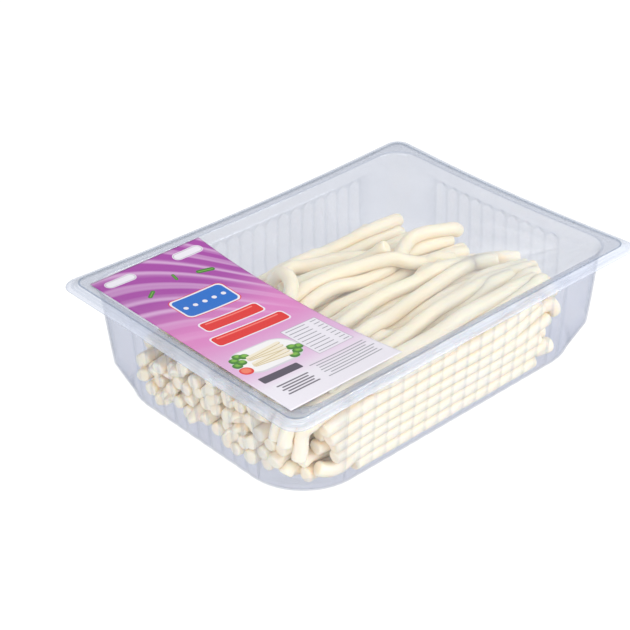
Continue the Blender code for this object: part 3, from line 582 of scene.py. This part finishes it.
# Each strand's middle line, with its thickness along it: its cut ends are slightly rounded.
STRAND_STEP = 0.0040
FINE_SAMPLE = 0.0010
END_STRETCH = 0.0050
END_ROUNDING = ((0.0, 0.72), (0.0003, 0.88), (0.0010, 0.965), (0.0022, 1.0))
line_points, line_edges, line_radius, line_number = [], [], [], []
for number, (path, radius) in enumerate(heap.strands):
    fine = through(path, FINE_SAMPLE)
    fine_length = distances_along(fine)
    whole = fine_length[-1]
    near_end = np.array([distance for distance, _ in END_ROUNDING])
    steps = max(round((whole - 2.0 * END_STRETCH) / STRAND_STEP), 2)
    middle = np.linspace(END_STRETCH, whole - END_STRETCH, steps)
    places = np.concatenate([near_end, middle, whole - near_end[::-1]])
    shares = [share for _, share in END_ROUNDING]
    swell = np.concatenate([shares, np.ones(len(middle)), shares[::-1]])
    first = len(line_points)
    line_points += np.stack([np.interp(places, fine_length, fine[:, k]) for k in range(3)], axis=1).tolist()
    line_edges += [(first + k, first + k + 1) for k in range(len(places) - 1)]
    line_radius += (radius * swell).tolist()
    line_number += [number] * len(places)


STRAND_SIDES = 12
LUMP_SIZE = 0.018
LUMP_HEIGHT = 0.0007


def strand_tree(finish):
    """Turns each line into a round strand with closed ends, uneven in thickness, that knows its own grain."""
    tree = bpy.data.node_groups.new("pulled_strands", "GeometryNodeTree")
    tree.interface.new_socket("Geometry", in_out="INPUT", socket_type="NodeSocketGeometry")
    tree.interface.new_socket("Geometry", in_out="OUTPUT", socket_type="NodeSocketGeometry")
    settings = []
    for name, kind, value in (("Sides", "NodeSocketInt", STRAND_SIDES),
                              ("Lump size", "NodeSocketFloat", LUMP_SIZE),
                              ("Lump height", "NodeSocketFloat", LUMP_HEIGHT),
                              ("Cheese", "NodeSocketMaterial", finish)):
        socket = tree.interface.new_socket(name, in_out="INPUT", socket_type=kind)
        settings.append((socket.identifier, value))
    given = add(tree, "NodeGroupInput").outputs
    lines = add(tree, "GeometryNodeMeshToCurve", {"Mesh": given["Geometry"]}).outputs[0]
    along = add(tree, "GeometryNodeSplineParameter").outputs["Length"]
    lines = add(tree, "GeometryNodeStoreNamedAttribute", {"Geometry": lines, "Name": "along", "Value": along},
                data_type="FLOAT").outputs[0]
    circle = add(tree, "GeometryNodeCurvePrimitiveCircle", {"Resolution": given["Sides"], "Radius": 1.0})
    turn = add(tree, "GeometryNodeSplineParameter").outputs["Factor"]
    turn = math_node(tree, "MULTIPLY", turn, 2.0 * math.pi)
    across, upwards = math_node(tree, "COSINE", turn), math_node(tree, "SINE", turn)
    around = add(tree, "ShaderNodeCombineXYZ", {0: across, 1: upwards}).outputs[0]
    circle = add(tree, "GeometryNodeStoreNamedAttribute",
                 {"Geometry": circle.outputs[0], "Name": "around", "Value": around},
                 data_type="FLOAT_VECTOR").outputs[0]
    thickness = add(tree, "GeometryNodeInputNamedAttribute", {"Name": "thickness"}, data_type="FLOAT")
    strand = add(tree, "GeometryNodeCurveToMesh", {"Curve": lines, "Profile Curve": circle, "Fill Caps": True,
                                                   "Scale": thickness.outputs[0]}).outputs[0]
    spot = add(tree, "GeometryNodeInputPosition").outputs[0]
    scaled = add(tree, "ShaderNodeVectorMath", {0: spot, 1: given["Lump size"]}, operation="DIVIDE")
    lumps = add(tree, "ShaderNodeTexNoise", {"Vector": scaled.outputs[0], "Scale": 1.0, "Detail": 2.0})
    lumps = math_node(tree, "SUBTRACT", lumps.outputs["Fac"], 0.5)
    lumps = math_node(tree, "MULTIPLY", lumps, given["Lump height"])
    normal = add(tree, "GeometryNodeInputNormal").outputs[0]
    push = add(tree, "ShaderNodeVectorMath", {0: normal, "Scale": lumps}, operation="SCALE").outputs[0]
    strand = add(tree, "GeometryNodeSetPosition", {"Geometry": strand, "Offset": push}).outputs[0]
    strand = add(tree, "GeometryNodeSetShadeSmooth", {"Geometry": strand}).outputs[0]
    strand = add(tree, "GeometryNodeRealizeInstances", {"Geometry": strand}).outputs[0]
    strand = add(tree, "GeometryNodeSetMaterial", {"Geometry": strand, "Material": given["Cheese"]})
    add(tree, "NodeGroupOutput", {0: strand.outputs[0]})
    return tree, settings


CREAM_DEEP = (0.955, 0.815, 0.580)
CREAM_LIGHT = (0.970, 0.880, 0.720)
FIBRE_SHADE = (0.92, 0.77, 0.51)
FIBRE_STRENGTH = 0.25
# Painted shade: the warm tan laid into the gaps where strands touch.
CREVICE_PAINTED_SHADE = (0.90, 0.66, 0.38)
CREVICE_SHADE_STRENGTH = 0.70
GRAIN_ALONG = 16.0
GRAIN_AROUND = 5.0
GRAIN_APART = 3.7


def cheese_finish():
    """Moist cream cheese, pulled into fibres along each strand, with warm painted shade where strands touch.
    """
    made, tree = new_material("string_cheese_strand")
    along = add(tree, "ShaderNodeAttribute", attribute_name="along").outputs["Fac"]
    around = add(tree, "ShaderNodeAttribute", attribute_name="around").outputs["Vector"]
    number = add(tree, "ShaderNodeAttribute", attribute_name="number").outputs["Fac"]
    painted_crevice_shade = add(tree, "ShaderNodeAttribute", attribute_name="painted_crevice_shade").outputs["Fac"]
    split = add(tree, "ShaderNodeSeparateXYZ", {0: around}).outputs
    run = math_node(tree, "MULTIPLY", along, GRAIN_ALONG)
    run = math_node(tree, "ADD", run, math_node(tree, "MULTIPLY", number, GRAIN_APART))
    across, upwards = (math_node(tree, "MULTIPLY", split[axis], GRAIN_AROUND) for axis in range(2))
    grain = add(tree, "ShaderNodeCombineXYZ", {0: across, 1: upwards, 2: run}).outputs[0]
    fibres = add(tree, "ShaderNodeTexNoise", {"Vector": grain, "Scale": 1.6, "Detail": 4.0}).outputs["Fac"]
    spot = add(tree, "ShaderNodeTexCoord").outputs["Object"]
    patches = add(tree, "ShaderNodeTexNoise", {"Vector": spot, "Scale": 38.0, "Detail": 3.0}).outputs["Fac"]
    cream = blend_colour(tree, patches, (*CREAM_DEEP, 1.0), (*CREAM_LIGHT, 1.0))
    shaded = math_node(tree, "MULTIPLY", fibres, FIBRE_STRENGTH)
    cream = blend_colour(tree, shaded, cream, (*FIBRE_SHADE, 1.0))
    # Painted shade: the cream is blended towards tan where strands touch.
    deep = math_node(tree, "MULTIPLY", painted_crevice_shade, CREVICE_SHADE_STRENGTH)
    colour = blend_colour(tree, deep, cream, (*CREVICE_PAINTED_SHADE, 1.0))
    relief = add(tree, "ShaderNodeBump", {"Height": fibres, "Strength": 0.25, "Distance": 0.0006}).outputs[0]
    shine = add(tree, "ShaderNodeMapRange", {"Value": patches, "To Min": 0.34, "To Max": 0.50}).outputs[0]
    body = add(tree, "ShaderNodeBsdfPrincipled", {
        "Base Color": colour, "Roughness": shine, "Normal": relief, "Subsurface Weight": 0.60,
        "Subsurface Radius": (1.0, 0.7, 0.4), "Subsurface Scale": 0.005}).outputs[0]
    add(tree, "ShaderNodeOutputMaterial", {"Surface": body})
    return made


finish = cheese_finish()
line_mesh = bpy.data.meshes.new("strand_lines")
line_mesh.from_pydata(line_points, line_edges, [])
store(line_mesh, "thickness", line_radius)
store(line_mesh, "number", line_number)
lines = bpy.data.objects.new("strand_lines", line_mesh)
bpy.context.scene.collection.objects.link(lines)
tree, settings = strand_tree(finish)
roll = lines.modifiers.new("roll", "NODES")
roll.node_group = tree
for identifier, value in settings:
    roll[identifier] = value
bpy.context.view_layer.update()
strand_mesh = bpy.data.meshes.new_from_object(lines.evaluated_get(bpy.context.evaluated_depsgraph_get()))
bpy.data.objects.remove(lines)
cheese = bpy.data.objects.new("cheese_strands", strand_mesh)
bpy.context.scene.collection.objects.link(cheese)

# Where one strand touches another its surface is marked for warm painted shade in the gaps between strands.
TOUCHING = 0.0022
TOUCH_SEARCH = 0.0030
TOUCH_SHARPNESS = 1.5
spots = np.empty(len(strand_mesh.vertices) * 3, np.float32)
strand_mesh.vertices.foreach_get("co", spots)
spots = spots.reshape(-1, 3)
numbers = np.empty(len(spots), np.float32)
strand_mesh.attributes["number"].data.foreach_get("value", numbers)
line_tree = KDTree(len(line_points))
for index, point in enumerate(line_points):
    line_tree.insert(point, index)
line_tree.balance()
painted_shade_depth = np.zeros(len(spots))
for index, spot in enumerate(spots):
    for _, other, distance in line_tree.find_range(spot, STRAND_RADIUS + TOUCH_SEARCH):
        if line_number[other] != round(float(numbers[index])):
            near = 1.0 - max(distance - line_radius[other], 0.0) / TOUCHING
            painted_shade_depth[index] = max(painted_shade_depth[index], near)
# Kept on the mesh as painted shade for the gaps between strands.
store(strand_mesh, "painted_crevice_shade", np.clip(painted_shade_depth, 0.0, 1.0) ** TOUCH_SHARPNESS)
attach(cheese, "root")
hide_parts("cheese")


# The lid is a thin clear film, heat-sealed on the rim's land. It is drawn tight at the corners, where it
# wrinkles, and sags towards the middle over the cheese.
FILM = 0.0004
FILM_MARGIN = 0.0003
FILM_CORNER_LESS = 0.003
FILM_RINGS = 44
FIRST_SHARE = 0.02
LAST_SHARE = 0.985
SHARE_CURVE = 0.75
EDGE_SHARES = (0.9920, 0.9955, 1.0)
WRINKLE_CORNER = (0.128, -0.084)
WRINKLE_HEIGHT = 0.00050
WRINKLE_AWAY = 0.030
WRINKLE_SPREAD = 0.035
WRINKLE_FOLDS = 17.0
WAVE_STRENGTH = 0.45
TAUT_DEPTH = 0.0030


def wrinkles(x, y):
    """Fine folds that fan out from the right front corner, and long tension waves across the film."""
    away = np.hypot(x - WRINKLE_CORNER[0], y - WRINKLE_CORNER[1])
    angle = np.arctan2(y - WRINKLE_CORNER[1], x - WRINKLE_CORNER[0])
    fan = np.sin(WRINKLE_FOLDS * angle + 30.0 * away) * np.exp(-((away - WRINKLE_AWAY) / WRINKLE_SPREAD) ** 2)
    waves = WAVE_STRENGTH * np.sin(92.0 * x + 25.0 * y + 1.5 * np.sin(31.0 * y)) * np.sin(20.0 * y + 0.7)
    inside = np.clip((LAND_HEIGHT + GAP - film_height(x, y)) / TAUT_DEPTH, 0.0, 1.0)
    return WRINKLE_HEIGHT * (fan + waves) * inside


film_edge, _ = wall_ring(LIP_WIDTH + FILM_MARGIN, RIM_CORNER - FILM_CORNER_LESS, MOUTH_HEIGHT)
film_rings = []
film_shares = np.append(np.linspace(FIRST_SHARE, LAST_SHARE, FILM_RINGS) ** SHARE_CURVE, EDGE_SHARES)
for share in film_shares:
    points = film_edge * share
    points[:, 2] = film_height(points[:, 0], points[:, 1]) + wrinkles(points[:, 0], points[:, 1])
    film_rings.append(points)
film = skin("film_sheet", film_rings, closed_floor=True)
# It is painted milkier over the front right of the heap, standing in for a reflection there, and is milkier
# along its folds.
REFLECTION_PATCH_CENTRE = (0.070, -0.068)
REFLECTION_PATCH_SPREAD = (0.045, 0.024)
REFLECTION_PATCH_MILK = 0.11
FOLD_MILK = 0.06
spots = np.concatenate(film_rings)
# Painted reflection: a soft patch of extra haze over the front right of the heap.
painted_reflection = np.exp(-((spots[:, 0] - REFLECTION_PATCH_CENTRE[0]) / REFLECTION_PATCH_SPREAD[0]) ** 2
              - ((spots[:, 1] - REFLECTION_PATCH_CENTRE[1]) / REFLECTION_PATCH_SPREAD[1]) ** 2)
folds = np.clip(wrinkles(spots[:, 0], spots[:, 1]) / WRINKLE_HEIGHT, 0.0, 1.0)
store(film.data, "milk_and_painted_reflection", REFLECTION_PATCH_MILK * painted_reflection + FOLD_MILK * folds)
# The cut edge, where the film is pressed into the land, is painted as a thin dark line.
store(film.data, "painted_lines", np.repeat(film_shares > EDGE_SHARES[0], len(film_edge)))
film.data.flip_normals()
thin = film.modifiers.new("film", "SOLIDIFY")
thin.thickness = FILM
thin.offset = 1.0
FILM_TINT = (0.915, 0.918, 0.927)
# The denser tint also colours the painted dark line at the film's cut edge.
FILM_DENSE_AND_PAINTED_LINE_TINT = (0.60, 0.66, 0.74)
FILM_HAZE = 0.050
FILM_VEIL = (0.72, 0.73, 0.75)
FILM_ROUGHNESS = 0.08
film.data.materials.append(clear_plastic("clear_film_sheet", FILM_TINT, FILM_DENSE_AND_PAINTED_LINE_TINT, FILM_HAZE, FILM_VEIL,
                                         FILM_ROUGHNESS))
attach(film, "root")
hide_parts("film_lid")


# The label is a printed paper strip stuck across the film over the tray's left third. Its print fades from
# magenta to white, with bands of light, leaves, a plaque, ribbons and a serving picture in flat colours.
LABEL = 0.0002
label_low, label_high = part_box("label")
LABEL_COLUMNS = 60
LABEL_ROWS = 120
label_x = np.linspace(label_low.x, label_high.x, LABEL_COLUMNS + 1)
label_y = np.linspace(label_low.y, label_high.y, LABEL_ROWS + 1)
grid_x, grid_y = (grid.ravel() for grid in np.meshgrid(label_x, label_y, indexing="ij"))
grid_z = film_height(grid_x, grid_y) + wrinkles(grid_x, grid_y) + FILM + GAP
label_mesh = bpy.data.meshes.new("label_paper")
corner = (np.arange(LABEL_COLUMNS)[:, None] * (LABEL_ROWS + 1) + np.arange(LABEL_ROWS)).ravel()
label_faces = np.stack([corner, corner + LABEL_ROWS + 1, corner + LABEL_ROWS + 2, corner + 1], axis=1)
label_mesh.from_pydata(np.stack([grid_x, grid_y, grid_z], axis=1).tolist(), [], label_faces.tolist())
label_mesh.shade_smooth()
label = bpy.data.objects.new("label_paper", label_mesh)
bpy.context.scene.collection.objects.link(label)
paper = label.modifiers.new("paper", "SOLIDIFY")
paper.thickness = LABEL
paper.offset = 1.0


def patch_group():
    """A flat printed shape: 1 inside a rounded box or disc of a given place, turn and size, and 0 outside."""
    tree = bpy.data.node_groups.new("printed_patch", "ShaderNodeTree")
    for name, kind in (("Place", "Vector"), ("Centre", "Vector"), ("Turn", "Float"), ("Half size", "Vector"),
                       ("Corner", "Float"), ("Edge", "Float")):
        tree.interface.new_socket(name, in_out="INPUT", socket_type="NodeSocket" + kind)
    tree.interface.new_socket("Mask", in_out="OUTPUT", socket_type="NodeSocketFloat")
    given = add(tree, "NodeGroupInput").outputs

    def vector(operation, a, b=(0.0, 0.0, 0.0)):
        return add(tree, "ShaderNodeVectorMath", {0: a, 1: b}, operation=operation)

    flat = vector("MULTIPLY", vector("SUBTRACT", given["Place"], given["Centre"]).outputs[0], (1.0, 1.0, 0.0))
    turned = add(tree, "ShaderNodeVectorRotate", {"Vector": flat.outputs[0], "Angle": given["Turn"]},
                 rotation_type="Z_AXIS", invert=True).outputs[0]
    rounding = add(tree, "ShaderNodeCombineXYZ", {0: given["Corner"], 1: given["Corner"]}).outputs[0]
    core = vector("SUBTRACT", given["Half size"], rounding).outputs[0]
    beyond = vector("SUBTRACT", vector("ABSOLUTE", turned).outputs[0], core).outputs[0]
    outside = vector("LENGTH", vector("MAXIMUM", beyond).outputs[0]).outputs["Value"]
    distance = math_node(tree, "SUBTRACT", outside, given["Corner"])
    share = math_node(tree, "DIVIDE", distance, given["Edge"])
    mask = math_node(tree, "SUBTRACT", 0.5, share, clamp=True)
    add(tree, "NodeGroupOutput", {0: mask})
    return tree


MAGENTA = (0.225, 0.038, 0.220)
PINK = (0.420, 0.140, 0.320)
LILAC = (0.440, 0.275, 0.420)
PAPER_WHITE = (0.500, 0.480, 0.520)
PLAQUE_BLUE = (0.008, 0.090, 0.340)
RIBBON_RED = (0.440, 0.018, 0.016)
LEAF_GREEN = (0.035, 0.130, 0.018)
LEAF_LIGHT = (0.130, 0.290, 0.040)
PRINT_GREY = (0.200, 0.200, 0.220)
BAND_LIGHT = (0.530, 0.400, 0.530)
RIBBON_SHINE = (0.560, 0.120, 0.100)
DISH_SHADE = (0.400, 0.390, 0.420)
DISH_WHITE = (0.540, 0.530, 0.530)
STRAND_SHADE = (0.380, 0.310, 0.180)
STRAND_LIGHT = (0.530, 0.480, 0.380)
TOMATO_LIGHT = (0.520, 0.130, 0.080)
BAR_INK = (0.060, 0.050, 0.070)
STROKE_INK = (0.110, 0.100, 0.120)
PRINT_EDGE = 0.00025
SOFT_EDGE = 0.0016
FADE_STOPS = ((0.0, PAPER_WHITE), (0.10, PAPER_WHITE), (0.27, LILAC), (0.50, PINK), (0.80, MAGENTA),
              (1.0, MAGENTA))
BAND_AXIS = 0.150
BAND_BEND = 9.0
BAND_COUNT = 330.0
BAND_STRENGTH = 0.52
FINE_BANDS = 2.3
FINE_STRENGTH = 0.35

# Where the printed shapes stand on the label, along X and Y, and the sizes of those that are alike.
WINDOWS = ((-0.132, 0.0905), (-0.074, 0.0905))
LEAVES = ((-0.126, 0.064, 0.0052, 38.0), (-0.078, 0.066, 0.0070, -14.0), (-0.100, 0.072, 0.0040, 80.0))
PLAQUE = (-0.103, 0.036)
DOTS = 5
DOT_PITCH = 0.0080
RIBBONS = ((-0.103, 0.008, 0.0240), (-0.103, -0.011, 0.0300))
DISH = (-0.118, -0.0440)
SALAD = ((-0.139, -0.037), (-0.134, -0.034), (-0.141, -0.043), (-0.136, -0.041), (-0.130, -0.036),
         (-0.099, -0.052), (-0.104, -0.055), (-0.095, -0.048), (-0.099, -0.046))
PRINTED_STRANDS = 6
TOMATO = (-0.1405, -0.0510)
TABLE = (-0.077, -0.046)
TABLE_ROWS = 9
BAR = (-0.126, -0.0665)
SMALL_PRINT = (-0.084, -0.0720)
SMALL_PRINT_LINES = 7
NOTE = (-0.126, -0.0830)
NOTE_LINES = 5


def label_finish():
    """Satin printed paper, its print worked out from places on the label."""
    made, tree = new_material("printed_label_paper")
    place = add(tree, "ShaderNodeTexCoord").outputs["Object"]
    spread = add(tree, "ShaderNodeSeparateXYZ", {0: place}).outputs
    group = patch_group()

    def share_between(value, low, high):
        return add(tree, "ShaderNodeMapRange", {"Value": value, "From Min": low, "From Max": high}).outputs[0]

    ramp = add(tree, "ShaderNodeValToRGB", {0: share_between(spread[1], label_low.y, label_high.y)})
    ramp.color_ramp.interpolation = "EASE"
    for position, _ in FADE_STOPS[2:]:
        ramp.color_ramp.elements.new(position)
    for element, (position, colour) in zip(ramp.color_ramp.elements, FADE_STOPS):
        element.position = position
        element.color = (*colour, 1.0)
    colour = ramp.outputs[0]

    # Soft bands of light that sweep across the upper half of the label in long curves.
    from_axis = math_node(tree, "ADD", spread[0], BAND_AXIS)
    bent = math_node(tree, "MULTIPLY", math_node(tree, "POWER", from_axis, 2.0), BAND_BEND)
    sweep = math_node(tree, "MULTIPLY", math_node(tree, "ADD", spread[1], bent), BAND_COUNT)
    wide = math_node(tree, "SINE", sweep)
    fine = math_node(tree, "SINE", math_node(tree, "MULTIPLY", sweep, FINE_BANDS))
    bands = math_node(tree, "ADD", wide, math_node(tree, "MULTIPLY", fine, FINE_STRENGTH))
    upper = share_between(spread[1], -0.02, 0.04)
    light = math_node(tree, "MULTIPLY", share_between(bands, -0.2, 1.35), upper)
    light = math_node(tree, "MULTIPLY", light, BAND_STRENGTH)
    colour = blend_colour(tree, light, colour, (*BAND_LIGHT, 1.0))

    def print_patch(below, ink, x, y, half_x, half_y, turn=0.0, corner=None, edge=PRINT_EDGE):
        """Prints one shape over what is below it; without a corner given its ends are fully round."""
        rounding = min(half_x, half_y) if corner is None else corner
        shape = {"Place": place, "Centre": (x, y, 0.0), "Turn": math.radians(turn),
                 "Half size": (half_x, half_y, 0.0), "Corner": rounding, "Edge": edge}
        mask = add(tree, "ShaderNodeGroup", shape, node_tree=group).outputs[0]
        return blend_colour(tree, mask, below, (*ink, 1.0))

    # Two plain windows and three leaves, a plaque with a row of dots, and two ribbons.
    for window in WINDOWS:
        colour = print_patch(colour, PAPER_WHITE, *window, 0.0125, 0.0042)
        colour = print_patch(colour, PRINT_GREY, *window, 0.0118, 0.0035)
        colour = print_patch(colour, PAPER_WHITE, *window, 0.0114, 0.0031)
    for x, y, half, turn in LEAVES:
        colour = print_patch(colour, LEAF_GREEN, x, y, half, 0.30 * half, turn)
        colour = print_patch(colour, LEAF_LIGHT, x, y, 0.8 * half, 0.05 * half, turn)
    colour = print_patch(colour, RIBBON_RED, *PLAQUE, 0.0232, 0.0132, corner=0.0050)
    colour = print_patch(colour, PAPER_WHITE, *PLAQUE, 0.0226, 0.0126, corner=0.0046)
    colour = print_patch(colour, PLAQUE_BLUE, *PLAQUE, 0.0212, 0.0112, corner=0.0038)
    for step in range(DOTS):
        from_middle = DOT_PITCH * (step - 0.5 * (DOTS - 1))
        colour = print_patch(colour, PAPER_WHITE, PLAQUE[0] + from_middle, PLAQUE[1], 0.0018, 0.0018)
    for x, y, half in RIBBONS:
        colour = print_patch(colour, PAPER_WHITE, x, y, half + 0.0011, 0.0066, corner=0.0035)
        colour = print_patch(colour, RIBBON_RED, x, y, half, 0.0055, corner=0.0028)
        colour = print_patch(colour, RIBBON_SHINE, x, y + 0.0032, half - 0.004, 0.0007)

    # The serving picture: cheese strands on an oval dish, with salad at both ends and a tomato half.
    colour = print_patch(colour, DISH_SHADE, *DISH, 0.0260, 0.0150, corner=0.0148)
    colour = print_patch(colour, DISH_WHITE, DISH[0], DISH[1] + 0.0004, 0.0245, 0.0136, corner=0.0134)
    for x, y in SALAD:
        colour = print_patch(colour, LEAF_GREEN, x, y, 0.0036, 0.0032)
        colour = print_patch(colour, LEAF_LIGHT, x + 0.0009, y + 0.0008, 0.0020, 0.0016, edge=SOFT_EDGE)
    for step in range(PRINTED_STRANDS):
        x, y = DISH[0] + 0.0005 * step, DISH[1] - 0.0065 + 0.0026 * step
        turn = 6.0 * (step % 3) - 6.0
        colour = print_patch(colour, STRAND_SHADE, x, y, 0.0150, 0.0016, turn)
        colour = print_patch(colour, STRAND_LIGHT, x, y + 0.0004, 0.0147, 0.0012, turn)
    colour = print_patch(colour, RIBBON_RED, *TOMATO, 0.0048, 0.0044)
    colour = print_patch(colour, TOMATO_LIGHT, TOMATO[0], TOMATO[1] + 0.0004, 0.0034, 0.0030, edge=0.0012)

    # A ruled table, a dark bar, and lines of small print shown as plain grey strokes.
    colour = print_patch(colour, PRINT_GREY, *TABLE, 0.0150, 0.0190, corner=0.0006)
    colour = print_patch(colour, PAPER_WHITE, *TABLE, 0.0146, 0.0186, corner=0.0004)
    for step in range(TABLE_ROWS):
        y = TABLE[1] + 0.0160 - 0.0040 * step
        colour = print_patch(colour, PRINT_GREY, TABLE[0] - 0.0045, y, 0.0085, 0.00045)
        colour = print_patch(colour, PRINT_GREY, TABLE[0] + 0.0110, y, 0.0026, 0.00045)
    colour = print_patch(colour, BAR_INK, *BAR, 0.0160, 0.0036, corner=0.0010)
    for step in range(SMALL_PRINT_LINES):
        x, y = SMALL_PRINT[0] + 0.0015 * (step % 2), SMALL_PRINT[1] - 0.0030 * step
        colour = print_patch(colour, PRINT_GREY, x, y, 0.0230 - 0.0015 * (step % 3), 0.00050)
    colour = print_patch(colour, PAPER_WHITE, *NOTE, 0.0150, 0.0080, corner=0.0006)
    for step in range(NOTE_LINES):
        y = NOTE[1] + 0.0055 - 0.0028 * step
        colour = print_patch(colour, STROKE_INK, NOTE[0], y, 0.0130 - 0.0022 * (step % 2), 0.00070)

    speckle = add(tree, "ShaderNodeTexNoise", {"Vector": place, "Scale": 900.0, "Detail": 2.0}).outputs["Fac"]
    colour = add(tree, "ShaderNodeMixRGB", {0: 0.06, 1: colour, 2: speckle}, blend_type="MULTIPLY").outputs[0]
    wave = add(tree, "ShaderNodeTexNoise", {"Vector": place, "Scale": 60.0}).outputs["Fac"]
    relief = add(tree, "ShaderNodeBump", {"Height": wave, "Strength": 0.08, "Distance": 0.001}).outputs[0]
    shine = add(tree, "ShaderNodeMapRange", {"Value": wave, "To Min": 0.30, "To Max": 0.42}).outputs[0]
    body = add(tree, "ShaderNodeBsdfPrincipled", {"Base Color": colour, "Roughness": shine, "Normal": relief,
                                                  "Specular IOR Level": 0.20}).outputs[0]
    add(tree, "ShaderNodeOutputMaterial", {"Surface": body})
    return made


label_mesh.materials.append(label_finish())
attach(label, "root")
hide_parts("label")


# The studio: a white sweep lit evenly from all round, a large soft light overhead, a soft key from the right
# and a soft fill from the left, and the camera where the photograph was taken.
CAMERA_PLACE = Vector((-0.6787, -0.7141, 0.6540))
CAMERA_AZIMUTH = math.radians(-41.948)
CAMERA_ELEVATION = math.radians(31.9524)
CAMERA_ROLL = math.radians(-0.9525)
SENSOR = 36.0
FOCAL_PIXELS = 1655.89
PHOTO_PIXELS = 630.0
FLOOR_HALF = 6.0
FLOOR_DROP = 0.0004
FLOOR_PAINT = (0.08, 0.08, 0.08, 1.0)
FLOOR_GLOW = 0.93
AIR_COLOUR = (0.98, 0.99, 1.0, 1.0)
AIR_STRENGTH = 0.90
floor_mesh = bpy.data.meshes.new("studio_floor")
quarters = ((-1, -1), (1, -1), (1, 1), (-1, 1))
floor_corners = [(FLOOR_HALF * x, FLOOR_HALF * y, -FLOOR_DROP) for x, y in quarters]
floor_mesh.from_pydata(floor_corners, [], [(0, 1, 2, 3)])
floor = bpy.data.objects.new("studio_floor", floor_mesh)
bpy.context.scene.collection.objects.link(floor)
floor_paint, tree = new_material("studio_floor_paint")
body = add(tree, "ShaderNodeBsdfPrincipled", {
    "Base Color": FLOOR_PAINT, "Roughness": 0.9, "Emission Color": (1.0, 1.0, 1.0, 1.0),
    "Emission Strength": FLOOR_GLOW}).outputs[0]
add(tree, "ShaderNodeOutputMaterial", {"Surface": body})
floor_mesh.materials.append(floor_paint)

world = bpy.data.worlds.new("studio_air")
bpy.context.scene.world = world
world.use_nodes = True
air = world.node_tree.nodes["Background"]
air.inputs["Color"].default_value = AIR_COLOUR
air.inputs["Strength"].default_value = AIR_STRENGTH


def soft_light(name, place, aim, size, watts):
    """A square studio light of a given size, turned to the point that it is aimed at."""
    light = bpy.data.lights.new(name, "AREA")
    light.shape = "SQUARE"
    light.size = size
    light.energy = watts
    made = bpy.data.objects.new(name, light)
    made.location = place
    made.rotation_euler = (Vector(aim) - Vector(place)).to_track_quat("-Z", "Y").to_euler()
    bpy.context.scene.collection.objects.link(made)


soft_light("overhead", (0.1, 0.1, 1.5), (0.0, 0.0, 0.0), 1.2, 4.5)
soft_light("key", (0.7, -1.3, 0.9), (0.0, 0.0, 0.03), 1.0, 30.0)
soft_light("fill", (-1.3, -0.6, 0.55), (0.0, 0.0, 0.03), 1.2, 20.0)

camera_data = bpy.data.cameras.new("camera")
camera_data.sensor_width = SENSOR
camera_data.lens = SENSOR * FOCAL_PIXELS / PHOTO_PIXELS
camera = bpy.data.objects.new("camera", camera_data)
back = Vector((math.sin(CAMERA_AZIMUTH) * math.cos(CAMERA_ELEVATION),
               -math.cos(CAMERA_AZIMUTH) * math.cos(CAMERA_ELEVATION), math.sin(CAMERA_ELEVATION)))
level_right = Vector((math.cos(CAMERA_AZIMUTH), math.sin(CAMERA_AZIMUTH), 0.0))
level_up = back.cross(level_right)
right = math.cos(CAMERA_ROLL) * level_right + math.sin(CAMERA_ROLL) * level_up
up = math.cos(CAMERA_ROLL) * level_up - math.sin(CAMERA_ROLL) * level_right
camera.matrix_world = Matrix.Translation(CAMERA_PLACE) @ Matrix((right, up, back)).transposed().to_4x4()
bpy.context.scene.collection.objects.link(camera)
bpy.context.scene.camera = camera
bpy.context.scene.view_settings.view_transform = "Standard"
bpy.context.scene.cycles.transparent_max_bounces = 32

bpy.context.view_layer.update()
